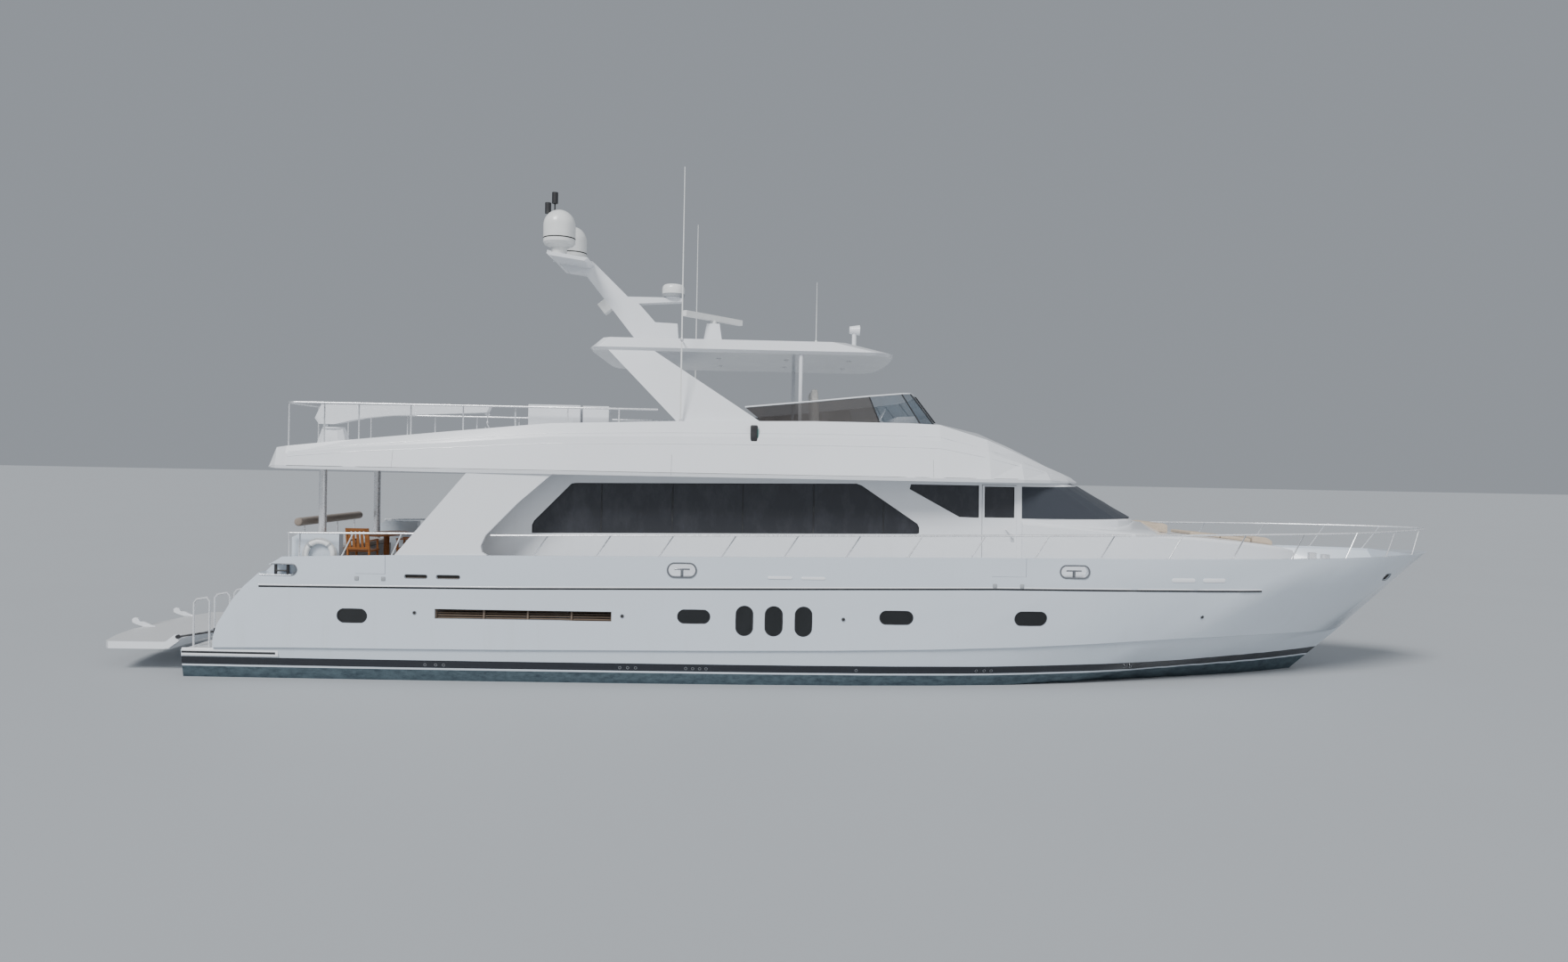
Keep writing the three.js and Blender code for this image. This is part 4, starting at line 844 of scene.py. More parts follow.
def dressed(node, finish_name, zones=(), bevel=0.0, degrees=32, cutters=None, name=None):
    """Stand a finished copy in for a node: merged, eased at its edges, zoned by place."""
    piece = copied(node, name or f"{node}_finished", flatten=True)
    if cutters:
        modify(piece, "BOOLEAN", operation="DIFFERENCE", solver="EXACT", object=cutters)
        remove(cutters)
    if bevel:
        modify(
            piece, "BEVEL", width=bevel, segments=2, limit_method="ANGLE", angle_limit=math.radians(BEVEL_DEGREES),
            use_clamp_overlap=True, harden_normals=False,
        )
    mesh = piece.data
    mesh.materials.clear()
    mesh.materials.append(FINISHES[finish_name])
    for i, (zone_finish, test) in enumerate(zones):
        mesh.materials.append(FINISHES[zone_finish])
        for face in mesh.polygons:
            if test(face.center, face.normal):
                face.material_index = i + 1
    smooth(piece, degrees)
    modify(piece, "WEIGHTED_NORMAL", keep_sharp=True, weight=60)
    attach(piece, NODES[node]["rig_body"])
    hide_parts(node)
    return piece


def colour_property(name, description, default):
    return FloatVectorProperty(
        name=name, description=description, subtype="COLOR", size=3, min=0, max=1, default=default)


def length_property(name, description, default, low, high):
    return FloatProperty(name=name, description=description, default=default, min=low, max=high, unit="LENGTH")


class YachtColours(bpy.types.PropertyGroup):
    """Colours of the yacht's finishes."""

    gelcoat: colour_property("Gelcoat", "White of the superstructure", (0.80, 0.82, 0.85))
    # Darker and bluer than the gelcoat: painted shade and painted water reflection on the flared topsides.
    hull: colour_property("Hull", "White of the topsides, a shade bluer", (0.62, 0.68, 0.745))
    boot_stripe: colour_property("Boot stripe", "Dark band over the waterline", (0.006, 0.008, 0.014))
    antifouling: colour_property("Antifouling", "Paint below the boot stripe", (0.018, 0.034, 0.048))
    # Opaque: the glass's own tint and painted shade of the unlit room behind it.
    glass: colour_property("Glass", "Tint of the house windows", (0.030, 0.031, 0.036))
    mesh: colour_property("Windscreen cover", "Woven cover on the windscreen", (0.035, 0.042, 0.055))
    teak: colour_property("Teak", "Oiled teak of the chairs and table", (0.44, 0.17, 0.05))
    deck: colour_property("Deck", "Laid teak of the cockpit and stairs", (0.36, 0.24, 0.14))
    fabric: colour_property("Canvas", "Tan canvas of pads and bolster", (0.56, 0.46, 0.35))


class YachtSizes(bpy.types.PropertyGroup):
    """Sizes of the yacht's fittings."""

    pocket_depth: length_property(
        "Portlight depth", "How far a portlight lies inside the skin", 0.045, 0.01, 0.08)
    rub_radius: length_property(
        "Rub rail", "Half thickness of the rub rail's black insert", 0.016, 0.005, 0.03)
    gasket: length_property("Gasket", "Radius of the rubber round each window", 0.010, 0.004, 0.02)
    cushion_crown: length_property("Cushion crown", "Most that a cushion's cover swells", 0.022, 0.0, 0.05)


class YachtOperator:
    """What each of the yacht's operators shares."""

    bl_options = {"REGISTER", "UNDO"}

    def execute(self, context):
        self.build(context.scene.yacht_colours, context.scene.yacht_sizes)
        return {"FINISHED"}


def stadium_cutters(depth):
    """Pockets for the portlights and scuppers, starboard and port."""
    cutters = []
    for x0, x1, z0, z1 in LONG_PORTLIGHTS + TALL_PORTLIGHTS + SCUPPERS + (HAWSE,):
        plate = stadium(x1 - x0, z1 - z0, depth + 0.1)
        cutters.append(on_skin(plate, (x0 + x1) / 2, (z0 + z1) / 2, -depth))
    return both_sides(joined(cutters))


def near(value, target, reach):
    return abs(value - target) < reach


HOOPS = (2.54, 1.65, 0.75)
BOLSTER_X = -11.60
HULL_ZONES = (
    ("teak_deck", lambda c, n: n.z > 0.9 and near(c.z, deck_z(c.x), 0.02) and c.x < -7.3),
    ("tread", lambda c, n: n.z > 0.9 and near(c.z, deck_z(c.x), 0.04) and c.x > -7.3),
    ("teak_deck", lambda c, n: n.z > 0.9 and -12.95 < c.x < -11.25 and 1.9 < abs(c.y) < 2.6 and c.z > 0.65),
    ("pale_planks", lambda c, n: n.z > 0.9 and near(c.z, STERN_DECK_Z, 0.01)),
    ("stainless", lambda c, n: c.x < -13.15 and c.z > 0.605 and any(
        near(abs(c.y), h, 0.03) for h in HOOPS)),
    ("black", lambda c, n: -13.2 < c.x < -12.95 and 2.44 < abs(c.y) < 2.495 and c.z > 0.605),
    ("stainless", lambda c, n: near(c.x, BOLSTER_X, 0.025) and 2.56 < c.z and any(
        near(abs(c.y), h, 0.03) for h in (1.5, 0.4))),
    ("stainless", lambda c, n: 12.68 < c.x < 13.12 and abs(c.y) < 0.52 and c.z > deck_z(c.x) + 0.02),
    ("louvre", lambda c, n: 3.03 < abs(c.y) < 3.112 and -8.14 < c.x < -4.31 and 1.36 < c.z < 1.61),
    ("bronze", lambda c, n: -11.12 < c.x < -10.68 and c.z < -0.62 and 0.9 < abs(c.y) < 1.7),
)


class YACHT_OT_hull(YachtOperator, bpy.types.Operator):
    """Hull skin with its pockets, gates, rub rails and stern mouldings"""

    bl_idname = "yacht.hull"
    bl_label = "Hull"

    def build(self, colours, sizes):
        dressed("hull", "hull", HULL_ZONES, degrees=28, cutters=stadium_cutters(sizes.pocket_depth))
        for gate in ("aft_gate", "forward_gate"):
            for side, _ in SIDES:
                dressed(f"{gate}_{side}", "hull")
        points = [hit("hull", x, z, -1, -0.004)[0] for x, z in self.stations(RUB_LINE, 0.5)]
        finish(both_sides(tube(points, 0.012, flat=0.010)), "rub_rail_insert", "rubber")
        lip = [hit("hull", x, z + 0.030, -1, -0.008)[0] for x, z in self.stations(RUB_LINE, 0.5)]
        finish(both_sides(tube(lip, 0.012, flat=0.006)), "rub_rail_lip", "white")
        ledge = [hit("hull", x, 0.55, -1, -0.02)[0] for x in (-13.58, -13.0, -12.4, -11.9, -11.5)]
        finish(both_sides(tube(ledge, 0.034, flat=0.055)), "stern_rub_moulding", "white")
        insert = [point + Vector((0, -0.028, 0)) for point in ledge[:-1]] + [ledge[-1] + Vector((-0.06, -0.028, 0))]
        finish(both_sides(tube(insert, 0.012, flat=0.014)), "stern_rub_insert", "rubber")

    @staticmethod
    def stations(line, step):
        result = []
        for (x0, z0), (x1, z1) in zip(line, line[1:]):
            count = max(1, round((x1 - x0) / step))
            result += [(x0 + (x1 - x0) * i / count, z0 + (z1 - z0) * i / count) for i in range(count)]
        return result + [line[-1]]


class YACHT_OT_hull_fittings(YachtOperator, bpy.types.Operator):
    """Portlights, vents, fairleads, scuppers, blanking pads and skin fittings"""

    bl_idname = "yacht.hull_fittings"
    bl_label = "Hull fittings"

    def build(self, colours, sizes):
        glass, frames = [], []
        for x0, x1, z0, z1 in LONG_PORTLIGHTS + TALL_PORTLIGHTS:
            at = ((x0 + x1) / 2, (z0 + z1) / 2)
            wide, high = x1 - x0, z1 - z0
            glass.append(on_skin(stadium(wide - 0.006, high - 0.006, 0.012), *at, -sizes.pocket_depth + 0.001))
            frames.append(on_skin(
                ring_plate(wide - 0.008, high - 0.008, 0.022, 0.022), *at, -sizes.pocket_depth + 0.002))
        finish_pair(glass, "portlight_glass", "port_glass")
        finish_pair(frames, "portlight_frames", "black")
        # Dark plates at the back of the scupper and hawse pockets, and dark discs on the skin inside the vent and
        # thru-hull rims: painted shadow for the openings.
        dark, bright = [], []
        for x0, x1, z0, z1 in SCUPPERS + (HAWSE,):
            at = ((x0 + x1) / 2, (z0 + z1) / 2)
            dark.append(on_skin(stadium(x1 - x0 - 0.004, z1 - z0 - 0.004, 0.01), *at, -sizes.pocket_depth + 0.001))
            bright.append(on_skin(ring_plate(x1 - x0 + 0.03, z1 - z0 + 0.03, 0.014, 0.006), *at, -0.002))
        bores = [(x, z, 0.026, 0.012, 0.002, 0.085, 0.016) for x, z in ROUND_VENTS]
        for x in THRU_HULLS:
            z = THRU_HULL_Z + max(0.0, x - 4.0) * THRU_HULL_RISE
            bores.append((x, z, 0.018, 0.014, 0.001, 0.07, 0.014))
        for x, z, radius, depth, proud, width, border in bores:
            dark.append(on_skin(disc(radius, depth, (0, 0, 0)), x, z, proud))
            bright.append(on_skin(ring_plate(width, width, border, 0.012), x, z, -0.001))
        finish_pair(dark, "hull_vent_bores", "shadow")
        finish_pair(bright, "hull_vent_rims", "steel")
        pads = []
        for x0, x1, z0, z1 in BLANK_PADS:
            plate = stadium(x1 - x0, z1 - z0, 0.014)
            edit_faces(plate, lambda centre, normal: normal.z > 0.9)
            bevel_selected(0.006)
            pads.append(on_skin(plate, (x0 + x1) / 2, (z0 + z1) / 2, -0.004))
        finish_pair(pads, "scupper_blanks", "white")
        rims, cleats = [], []
        for x0, x1, z0, z1 in FAIRLEADS:
            middle, height = (x0 + x1) / 2, (z0 + z1) / 2
            frame_at, far_end = skin_matrix(x0 - 0.06, height), skin_matrix(x1 + 0.06, height)
            frame_at.translation = (frame_at.translation + far_end.translation) / 2
            rim = ring_plate(x1 - x0 + 0.05, z1 - z0 + 0.05, 0.036, 0.03)
            rims.append(placed(rim, frame_at @ Matrix.Translation((0, 0, -0.014))))
            y = frame_at.translation.y + 0.065
            cleats.append(rod((middle, y, z0 - 0.01), (middle, y, height + 0.01), 0.034, 20))
            horn_z = height + 0.015
            cleats.append(rod((middle - 0.17, y, horn_z), (middle + 0.17, y, horn_z), 0.017, 16, bevel=0.01))
        finish_pair(rims, "fairlead_rims", "steel")
        finish_pair(cleats, "fairlead_cleats", "steel")
        self.stern_fairlead()
        self.gate_pads()

    @staticmethod
    def stern_fairlead():
        """Oval rim, open aft, with its rollers."""
        x0, x1, z0, z1 = STERN_FAIRLEAD
        reach = (z1 - z0) / 2 + 0.012
        middle, centre = (z0 + z1) / 2, x1 - (z1 - z0) / 2
        outline = [(x0 + 0.28, middle + reach)]
        for i in range(9):
            angle = math.pi / 2 - math.pi * i / 8
            outline.append((centre + reach * math.cos(angle), middle + reach * math.sin(angle)))
        outline.append((x0 + 0.04, middle - reach))
        rim = tube([hit("hull", x, z, -1, 0.004)[0] for x, z in outline], 0.014, sides=3)
        finish(both_sides(rim), "stern_fairlead_rims", "steel")
        y = hit("hull", centre, z0 - 0.03)[0].y + 0.07
        rollers = [rod((x, y, z0 - 0.004), (x, y, z1 + 0.004), 0.032, 20) for x in (-11.56, -11.30)]
        rollers.append(rod((-11.58, y, middle - 0.03), (-11.28, y, middle - 0.03), 0.020, 16))
        finish_pair(rollers, "stern_fairlead_rollers", "black")

    @staticmethod
    def gate_pads():
        pads = []
        for x, z in GATE_PADS:
            pads.append(on_skin(block(-0.045, 0.045, -0.045, 0.045, -0.002, 0.012, 0.010), x, z))
        finish_pair(pads, "gate_pads", "grey")


class YACHT_OT_superstructure(YachtOperator, bpy.types.Operator):
    """Deckhouse, trunk, upper deck, arch and hardtop mouldings"""

    bl_idname = "yacht.superstructure"
    bl_label = "Superstructure"

    def build(self, colours, sizes):
        dressed("deckhouse", "white", HOUSE_ZONES, bevel=0.008)
        dressed("trunk", "white", bevel=0.012)
        dressed("upper_deck", "white", UPPER_ZONES, bevel=0.010, degrees=11)
        dressed("hardtop", "white", bevel=0.012)
        for side, _ in SIDES:
            dressed(f"arch_leg_{side}", "white", bevel=0.022)
            dressed(f"wheelhouse_door_{side}", "white", bevel=0.004)
            dressed(f"hardtop_post_{side}", "white", degrees=60)
            dressed(f"cockpit_post_{side}", "stainless", degrees=60)
        self.soffit_lamps()
        self.deck_seams()
        self.sidelights()

    def soffit_lamps(self):
        rims, lamps = [], []
        places = [(x, y, SOFFIT_Z) for x in (-10.4, -9.2, -8.0) for y in (0.9, 2.2)]
        places += [(x, 0.9, HARDTOP_SOFFIT_Z) for x in (-3.9, -2.2, -0.6, 0.9)]
        for x, y, z in places:
            rims.append(turned([(0.062, z + 0.004), (0.062, z - 0.006), (0.046, z - 0.010)], x, -y))
            lamps.append(turned([(0.044, z - 0.004), (0.040, z - 0.0115)], x, -y))
        finish_pair(rims, "soffit_lamp_rims", "stainless")
        finish_pair(lamps, "soffit_lamps", "clear")

    def deck_seams(self):
        """Painted shadow lines in the joints where the wings and mouldings meet, and along the lip."""
        seams = []
        for x in (-9.1, -3.1, 2.6):
            line = [hit("upper_deck", x, z, -1, 0.0)[0] for z in (4.56, 4.62, 4.80, 5.0)]
            seams.append(tube(line, 0.0022, sides=1))
        lip = [hit("upper_deck", -11.4 + 0.55 * i, 4.612, -1, 0.0)[0] for i in range(30)]
        seams.append(tube(lip, 0.0045, sides=1))
        finish_pair(seams, "moulding_joints", "shadow")
        beads = []
        for share in COAMING_BEADS:
            line = []
            for i in range(44):
                x = -11.4 + 0.394 * i
                z = COAMING_FOOT_Z + along(COAMING_CREASE, x) * share
                line.append(hit("upper_deck", x, z, -1, 0.0)[0])
            beads.append(tube(line, 0.007, sides=2))
        finish_pair(beads, "coaming_beads", "white")

    def sidelights(self):
        """Lamp boxes on the coaming, green to starboard and red to port."""
        for side, way in SIDES:
            box = block(-1.41, -1.25, *sorted((way * 2.90, way * 3.06)), 5.31, 5.68, 0.03, 3)
            finish(box, f"sidelight_box_{side}", "black")
            bracket = block(-1.40, -1.28, *sorted((way * 2.95, way * 3.04)), 5.24, 5.32, 0.01)
            finish(bracket, f"sidelight_bracket_{side}", "grey")
            lamp = block(-1.27, -1.235, *sorted((way * 2.92, way * 3.045)), 5.40, 5.60, 0.012)
            finish(lamp, f"sidelight_{side}", "green" if way < 0 else "red")


HOUSE_ZONES = (
    ("black", lambda c, n: n.x < -0.9 and near(abs(c.y), 0.55, 0.02) and c.x < -6.9),
)
COAMING_FOOT_Z = 4.545
# Height of the coaming's crease over its foot: x, height
COAMING_CREASE = (
    (-11.45, 0.325), (-10.0, 0.49), (-8.0, 0.64), (-5.76, 0.81), (-3.04, 0.87), (0.0, 0.90), (2.1, 0.90),
    (2.79, 0.885), (3.9, 0.65), (4.7, 0.43), (5.4, 0.25), (5.95, 0.14),
)
COAMING_BEADS = (1.08, 0.80)
UPPER_ZONES = (
    ("tread", lambda c, n: n.z > 0.95 and near(c.z, BOAT_DECK_Z, 0.012)),
)
# Outlines of the side windows: x, z
SALOON_WINDOW = (
    (-6.23, 3.21), (-6.23, 3.39), (-6.19, 3.48), (-5.38, 4.32), (-5.30, 4.34), (1.00, 4.44), (1.12, 4.40),
    (2.39, 3.56), (2.43, 3.48), (2.43, 3.35), (2.38, 3.33),
)
QUARTER_WINDOW = ((2.23, 4.45), (2.20, 4.34), (3.34, 3.73), (3.78, 3.72), (3.78, 4.45))
DOOR_WINDOW = ((3.91, 3.73), (3.91, 4.43), (4.59, 4.43), (4.59, 3.73))


COVER_STANDOFF = 0.020
COVER_THICK = 0.004
COVER_CREASE, COVER_PULL = 0.0035, 0.0025


class YACHT_OT_glazing(YachtOperator, bpy.types.Operator):
    """House windows with gaskets and mullions, windscreen cover, flybridge screen"""

    bl_idname = "yacht.glazing"
    bl_label = "Glazing"

    def build(self, colours, sizes):
        for side, _ in SIDES:
            painted("glass", f"saloon_glass_{side}", f"quarter_glass_{side}", f"door_glass_{side}")
        painted("glass", "windscreen", "saloon_door")
        dressed("fly_windscreen", "screen", SCREEN_ZONES, name="fly_windscreen_panes")
        gaskets = [
            self.gasket("saloon_glass_starboard", SALOON_WINDOW, sizes.gasket),
            self.gasket("quarter_glass_starboard", QUARTER_WINDOW, sizes.gasket),
        ]
        for x in SALOON_MULLIONS:
            gaskets.append(self.mullion("saloon_glass_starboard", x, 3.235 + (x + 6.23) * 0.0139, self.head(x)))
        finish_pair(gaskets, "window_gaskets", "rubber")
        door = self.gasket("door_glass_starboard", DOOR_WINDOW, sizes.gasket)
        finish_twins(door, "door_gasket", "rubber", "wheelhouse_door")
        self.door_handles()
        self.cover()
        self.fly_screen_trim()

    @staticmethod
    def head(x):
        if x < -5.3:
            return 4.3
        return min(4.33 + (x + 5.3) * 0.0159, 4.4 - max(0.0, x - 1.12) * 0.661) - 0.02

    @staticmethod
    def gasket(node, outline, radius):
        cx = sum(x for x, _ in outline) / len(outline)
        cz = sum(z for _, z in outline) / len(outline)
        points = []
        for x, z in outline:
            inward = Vector((cx - x, cz - z)).normalized() * 0.014
            points.append(hit(node, x + inward.x, z + inward.y, -1, 0.003)[0])
        return tube(points, radius, closed=True, sides=2, rounded=0.03)

    @staticmethod
    def mullion(node, x, z0, z1):
        low, high = hit(node, x, z0, -1, 0.002)[0], hit(node, x, z1, -1, 0.002)[0]
        return ribbon(low, high, 0.034, 0.005, (0, -1, 0))

    def door_handles(self):
        low, high = (4.545, 3.27), (4.40, 3.46)
        node = "wheelhouse_door_starboard"
        start, end = hit(node, *low, -1, 0.042)[0], hit(node, *high, -1, 0.042)[0]
        parts = [rod(start, end, 0.013, bevel=0.006)]
        for place in (start, end):
            parts.append(rod(place, place + Vector((0, 0.048, 0)), 0.012))
        plate = block(4.50, 4.59, -0.006, 0.006, 3.18, 3.38, 0.005)
        parts.append(placed(plate, Matrix.Translation((0, hit(node, 4.54, 3.28)[0].y, 0))))
        finish_twins(joined(parts), "door_handle", "stainless", "wheelhouse_door")

    def cover(self):
        """Woven cover over the windscreen: its outer face, stood off, creased and given its thickness."""
        cover = copied("windscreen", "windscreen_cover")
        edit_faces(cover, lambda c, n: not 0.01 < n.z < 0.97)
        bpy.ops.mesh.delete(type="FACE")
        bpy.ops.mesh.select_all(action="SELECT")
        bpy.ops.mesh.tris_convert_to_quads()
        bpy.ops.mesh.subdivide(number_cuts=3)
        bpy.ops.transform.shrink_fatten(value=COVER_STANDOFF)
        done()
        modify(cover, "SUBSURF", levels=1, subdivision_type="SIMPLE")
        for point in cover.data.vertices:
            place, normal = point.co.copy(), point.normal.copy()
            bearing = math.atan2(place.y, place.x - 4.0)
            crease = math.sin(bearing * 21 + place.z * 9) * math.sin(place.z * 23 + bearing * 5)
            pull = math.sin(bearing * 7.3 + place.z * 4)
            point.co = place + normal * (COVER_CREASE * crease + COVER_PULL * pull)
        modify(cover, "SOLIDIFY", thickness=COVER_THICK, offset=0.0)
        finish(cover, "windscreen_cover", "mesh", degrees=60)

    def fly_screen_trim(self):
        heads = [Vector((x, -y, z)) for _, _, x, y, z in FLY_SCREEN]
        feet = [Vector((x, -y, 5.69)) for x, y, _, _, _ in FLY_SCREEN]
        whole = heads + [mirrored(p) for p in reversed(heads[:-1])]
        trim = tube([p + Vector((0, 0, 0.004)) for p in whole], 0.017, sides=3)
        finish(trim, "fly_screen_cap", "white")
        frames = []
        for foot, head in list(zip(feet, heads))[2:-1]:
            low = foot.lerp(head, 0.14)
            frames.append(tube([low, head], 0.014, sides=3))
            frames.append(tube([mirrored(low), mirrored(head)], 0.014, sides=3))
        finish(joined(frames), "fly_screen_frames", "black")


# Corners of the flybridge screen: foot x, foot y, head x, head y, head z
FLY_SCREEN = (
    (-1.04, 2.70, -1.54, 2.624, 6.09), (0.0, 2.70, 0.0, 2.593, 6.252), (1.50, 2.66, 1.222, 2.534, 6.391),
    (2.45, 2.56, 1.959, 2.439, 6.469), (2.80, 2.30, 2.179, 2.263, 6.49), (3.08, 1.30, 2.436, 1.345, 6.49),
    (3.16, 0.0, 2.519, 0.0, 6.49),
)


SCREEN_ZONES = (
    ("smoked", lambda c, n: c.x < 1.4),
)
RADOME_X = -3.37
DOME_X, DOME_Y, DOME_RADIUS, DOME_SPRING_Z = -6.02, 0.85, 0.375, 10.385


class YACHT_OT_mast(YachtOperator, bpy.types.Operator):
    """Mast, domes, radars, lights and aerials"""

    bl_idname = "yacht.mast"
    bl_label = "Mast and electronics"

    def build(self, colours, sizes):
        dressed("mast", "white", MAST_ZONES, bevel=0.010)
        dressed("radar_scanner", "plastic", bevel=0.022, degrees=45)
        for side, way in SIDES:
            dressed(f"aerial_{side}", "plastic", degrees=60)
            dome = turned(self.dome_profile(), DOME_X, way * DOME_Y, 48)
            finish(dome, f"dome_{side}", "plastic", degrees=30)
            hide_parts(f"satellite_dome_{side}")
            band = turned(
                [(0.378, 10.063), (0.3785, 10.070), (0.3785, 10.082), (0.378, 10.089)], DOME_X, way * DOME_Y, 48)
            finish(band, f"dome_seam_{side}", "shadow")
        radome = turned([
            (0.22, 8.885), (0.262, 8.895), (0.272, 8.96), (0.275, 8.99), (0.275, 9.10), (0.262, 9.155), (0.23, 9.195),
            (0.17, 9.205),
        ], RADOME_X, 0, 40)
        finish(radome, "radome_cap", "plastic", degrees=30)
        band = turned([(0.225, 8.882), (0.267, 8.892), (0.278, 8.955), (0.278, 8.975)], RADOME_X, 0, 40)
        finish(band, "radome_band", "grey")
        self.floodlight()
        self.clamps()
        self.searchlight()
        self.short_aerial()

    @staticmethod
    def dome_profile():
        profile = [
            (0.17, 9.685), (0.18, 9.77), (0.19, 9.865), (0.335, 9.925), (DOME_RADIUS, 9.985),
            (DOME_RADIUS, DOME_SPRING_Z),
        ]
        for i in range(1, 12):
            angle = math.pi / 2 * i / 12
            profile.append((DOME_RADIUS * math.cos(angle), DOME_SPRING_Z + DOME_RADIUS * math.sin(angle)))
        return profile + [(0.004, DOME_SPRING_Z + DOME_RADIUS - 0.001)]

    def floodlight(self):
        tilt = Matrix.Translation((-5.03, 0, 8.62)) @ Matrix.Rotation(math.radians(-39), 4, "Y")
        body = placed(block(-0.11, 0.11, -0.16, 0.16, -0.15, 0.15, 0.02, 3), tilt)
        stem = placed(block(0.09, 0.21, -0.03, 0.03, -0.03, 0.03, 0.006), tilt)
        glass = placed(block(-0.118, -0.108, -0.13, 0.13, -0.12, 0.12, 0.004), tilt)
        finish(joined([body, stem]), "floodlight_body", "plastic")
        finish(glass, "floodlight_lens", "clear")

    def clamps(self):
        parts = []
        for _, way in SIDES:
            x, y = -2.95, way * 2.83
            parts.append(rod((x, y, 7.50), (x, y, 7.56), 0.040, 24, bevel=0.006))
            parts.append(rod((x, y, 7.53), (x, way * 2.25, 7.53), 0.012))
            parts.append(rod((x, y, 5.56), (x, y, 5.80), 0.030, 24, bevel=0.006))
        finish(joined(parts), "aerial_clamps", "stainless")

    def searchlight(self):
        lamp = turned([(0.120, 0.0), (0.122, 0.004), (0.120, 0.008)], 0, 0, 40)
        turn = Matrix.Translation((1.229, 0, 8.20)) @ Matrix.Rotation(math.radians(90), 4, "Y")
        finish(placed(lamp, turn), "searchlight_lens", "clear")

    def short_aerial(self):
        parts = [rod((0.1, -1.0, 7.69), (0.1, -1.0, 7.80), 0.028, 20, bevel=0.006),
                 rod((0.1, -1.0, 7.80), (0.1, -1.0, 9.18), 0.010, 12, 0.005)]
        finish(joined(parts), "short_aerial", "plastic")


MAST_ZONES = (
    ("black", lambda c, n: c.x < -6.1 and c.z > 10.0),
)
BOAT_RAIL_X, BOAT_RAIL_Y, BOAT_RAIL_Z = -6.25, 2.74, 5.99
BOAT_RAIL_RUN = 2.80
BOAT_RAIL_POSTS = (-5.42, -4.30)
BOAT_RAIL_RADIUS, BOAT_RAIL_POST_RADIUS = 0.022, 0.016


class YACHT_OT_rails(YachtOperator, bpy.types.Operator):
    """Stainless rails with their flanges and end fittings"""

    bl_idname = "yacht.rails"
    bl_label = "Rails"

    def build(self, colours, sizes):
        for node in ("boat_deck_rail", "bow_rail", "side_rail_starboard", "side_rail_port",
                     "quarter_rail_starboard", "quarter_rail_port"):
            dressed(node, "stainless", degrees=75)
        end = Vector((BOAT_RAIL_X, -BOAT_RAIL_Y, BOAT_RAIL_Z))
        run = [rod(end, end + Vector((BOAT_RAIL_RUN, 0, 0)), BOAT_RAIL_RADIUS, 12, bevel=0.004)]
        for x in BOAT_RAIL_POSTS:
            foot = cast("upper_deck", (x, -BOAT_RAIL_Y, 7), (0, 0, -1))[0]
            run.append(rod(foot - Vector((0, 0, 0.004)), (x, -BOAT_RAIL_Y, BOAT_RAIL_Z), BOAT_RAIL_POST_RADIUS, 12))
        finish_pair(run, "boat_deck_rail_forward", "stainless", degrees=75)
        flanges = []
        for x in RAIL_FLANGES:
            top = self.cap_height(x)
            y = hit("hull", x, top - 0.012)[0].y + 0.062
            flanges.append(turned([(0.036, top - 0.001), (0.036, top + 0.004), (0.026, top + 0.011)], x, y, 24))
        finish_pair(flanges, "rail_flanges", "stainless")

    @staticmethod
    def cap_height(x):
        """Top of the bulwark at x."""
        for z in (3.2 - 0.005 * i for i in range(200)):
            place = tree_of("hull").ray_cast(Vector((x, -RAY_START, z)), Vector((0, 1, 0)))[0]
            if place is not None and place.y < -0.2:
                return z
        raise RuntimeError(f"no bulwark at x {x}")


class YACHT_OT_stern(YachtOperator, bpy.types.Operator):
    """Lifting platform with chocks and link bars"""

    bl_idname = "yacht.stern"
    bl_label = "Stern platform"

    def build(self, colours, sizes):
        dressed("lift_platform", "white", PLATFORM_ZONES, bevel=0.012)
        for side, _ in SIDES:
            dressed(f"lift_arm_{side}", "black", degrees=50)


PLATFORM_ZONES = (
    ("pale_planks", lambda c, n: n.z > 0.95 and near(c.z, PLATFORM_Z, 0.01)),
)


class YACHT_OT_machinery(YachtOperator, bpy.types.Operator):
    """Engines, propellers and rudders"""

    bl_idname = "yacht.machinery"
    bl_label = "Machinery"

    def build(self, colours, sizes):
        for side, _ in SIDES:
            dressed(f"engine_{side}", "engine", bevel=0.05)
            dressed(f"propeller_{side}", "bronze", bevel=0.004, degrees=50)
            dressed(f"rudder_{side}", "bronze", bevel=0.006, degrees=50)


LIFE_RING_X, LIFE_RING_Y, LIFE_RING_Z = -10.7, -2.8605, 2.685
LIFE_RING_RADIUS = 0.29


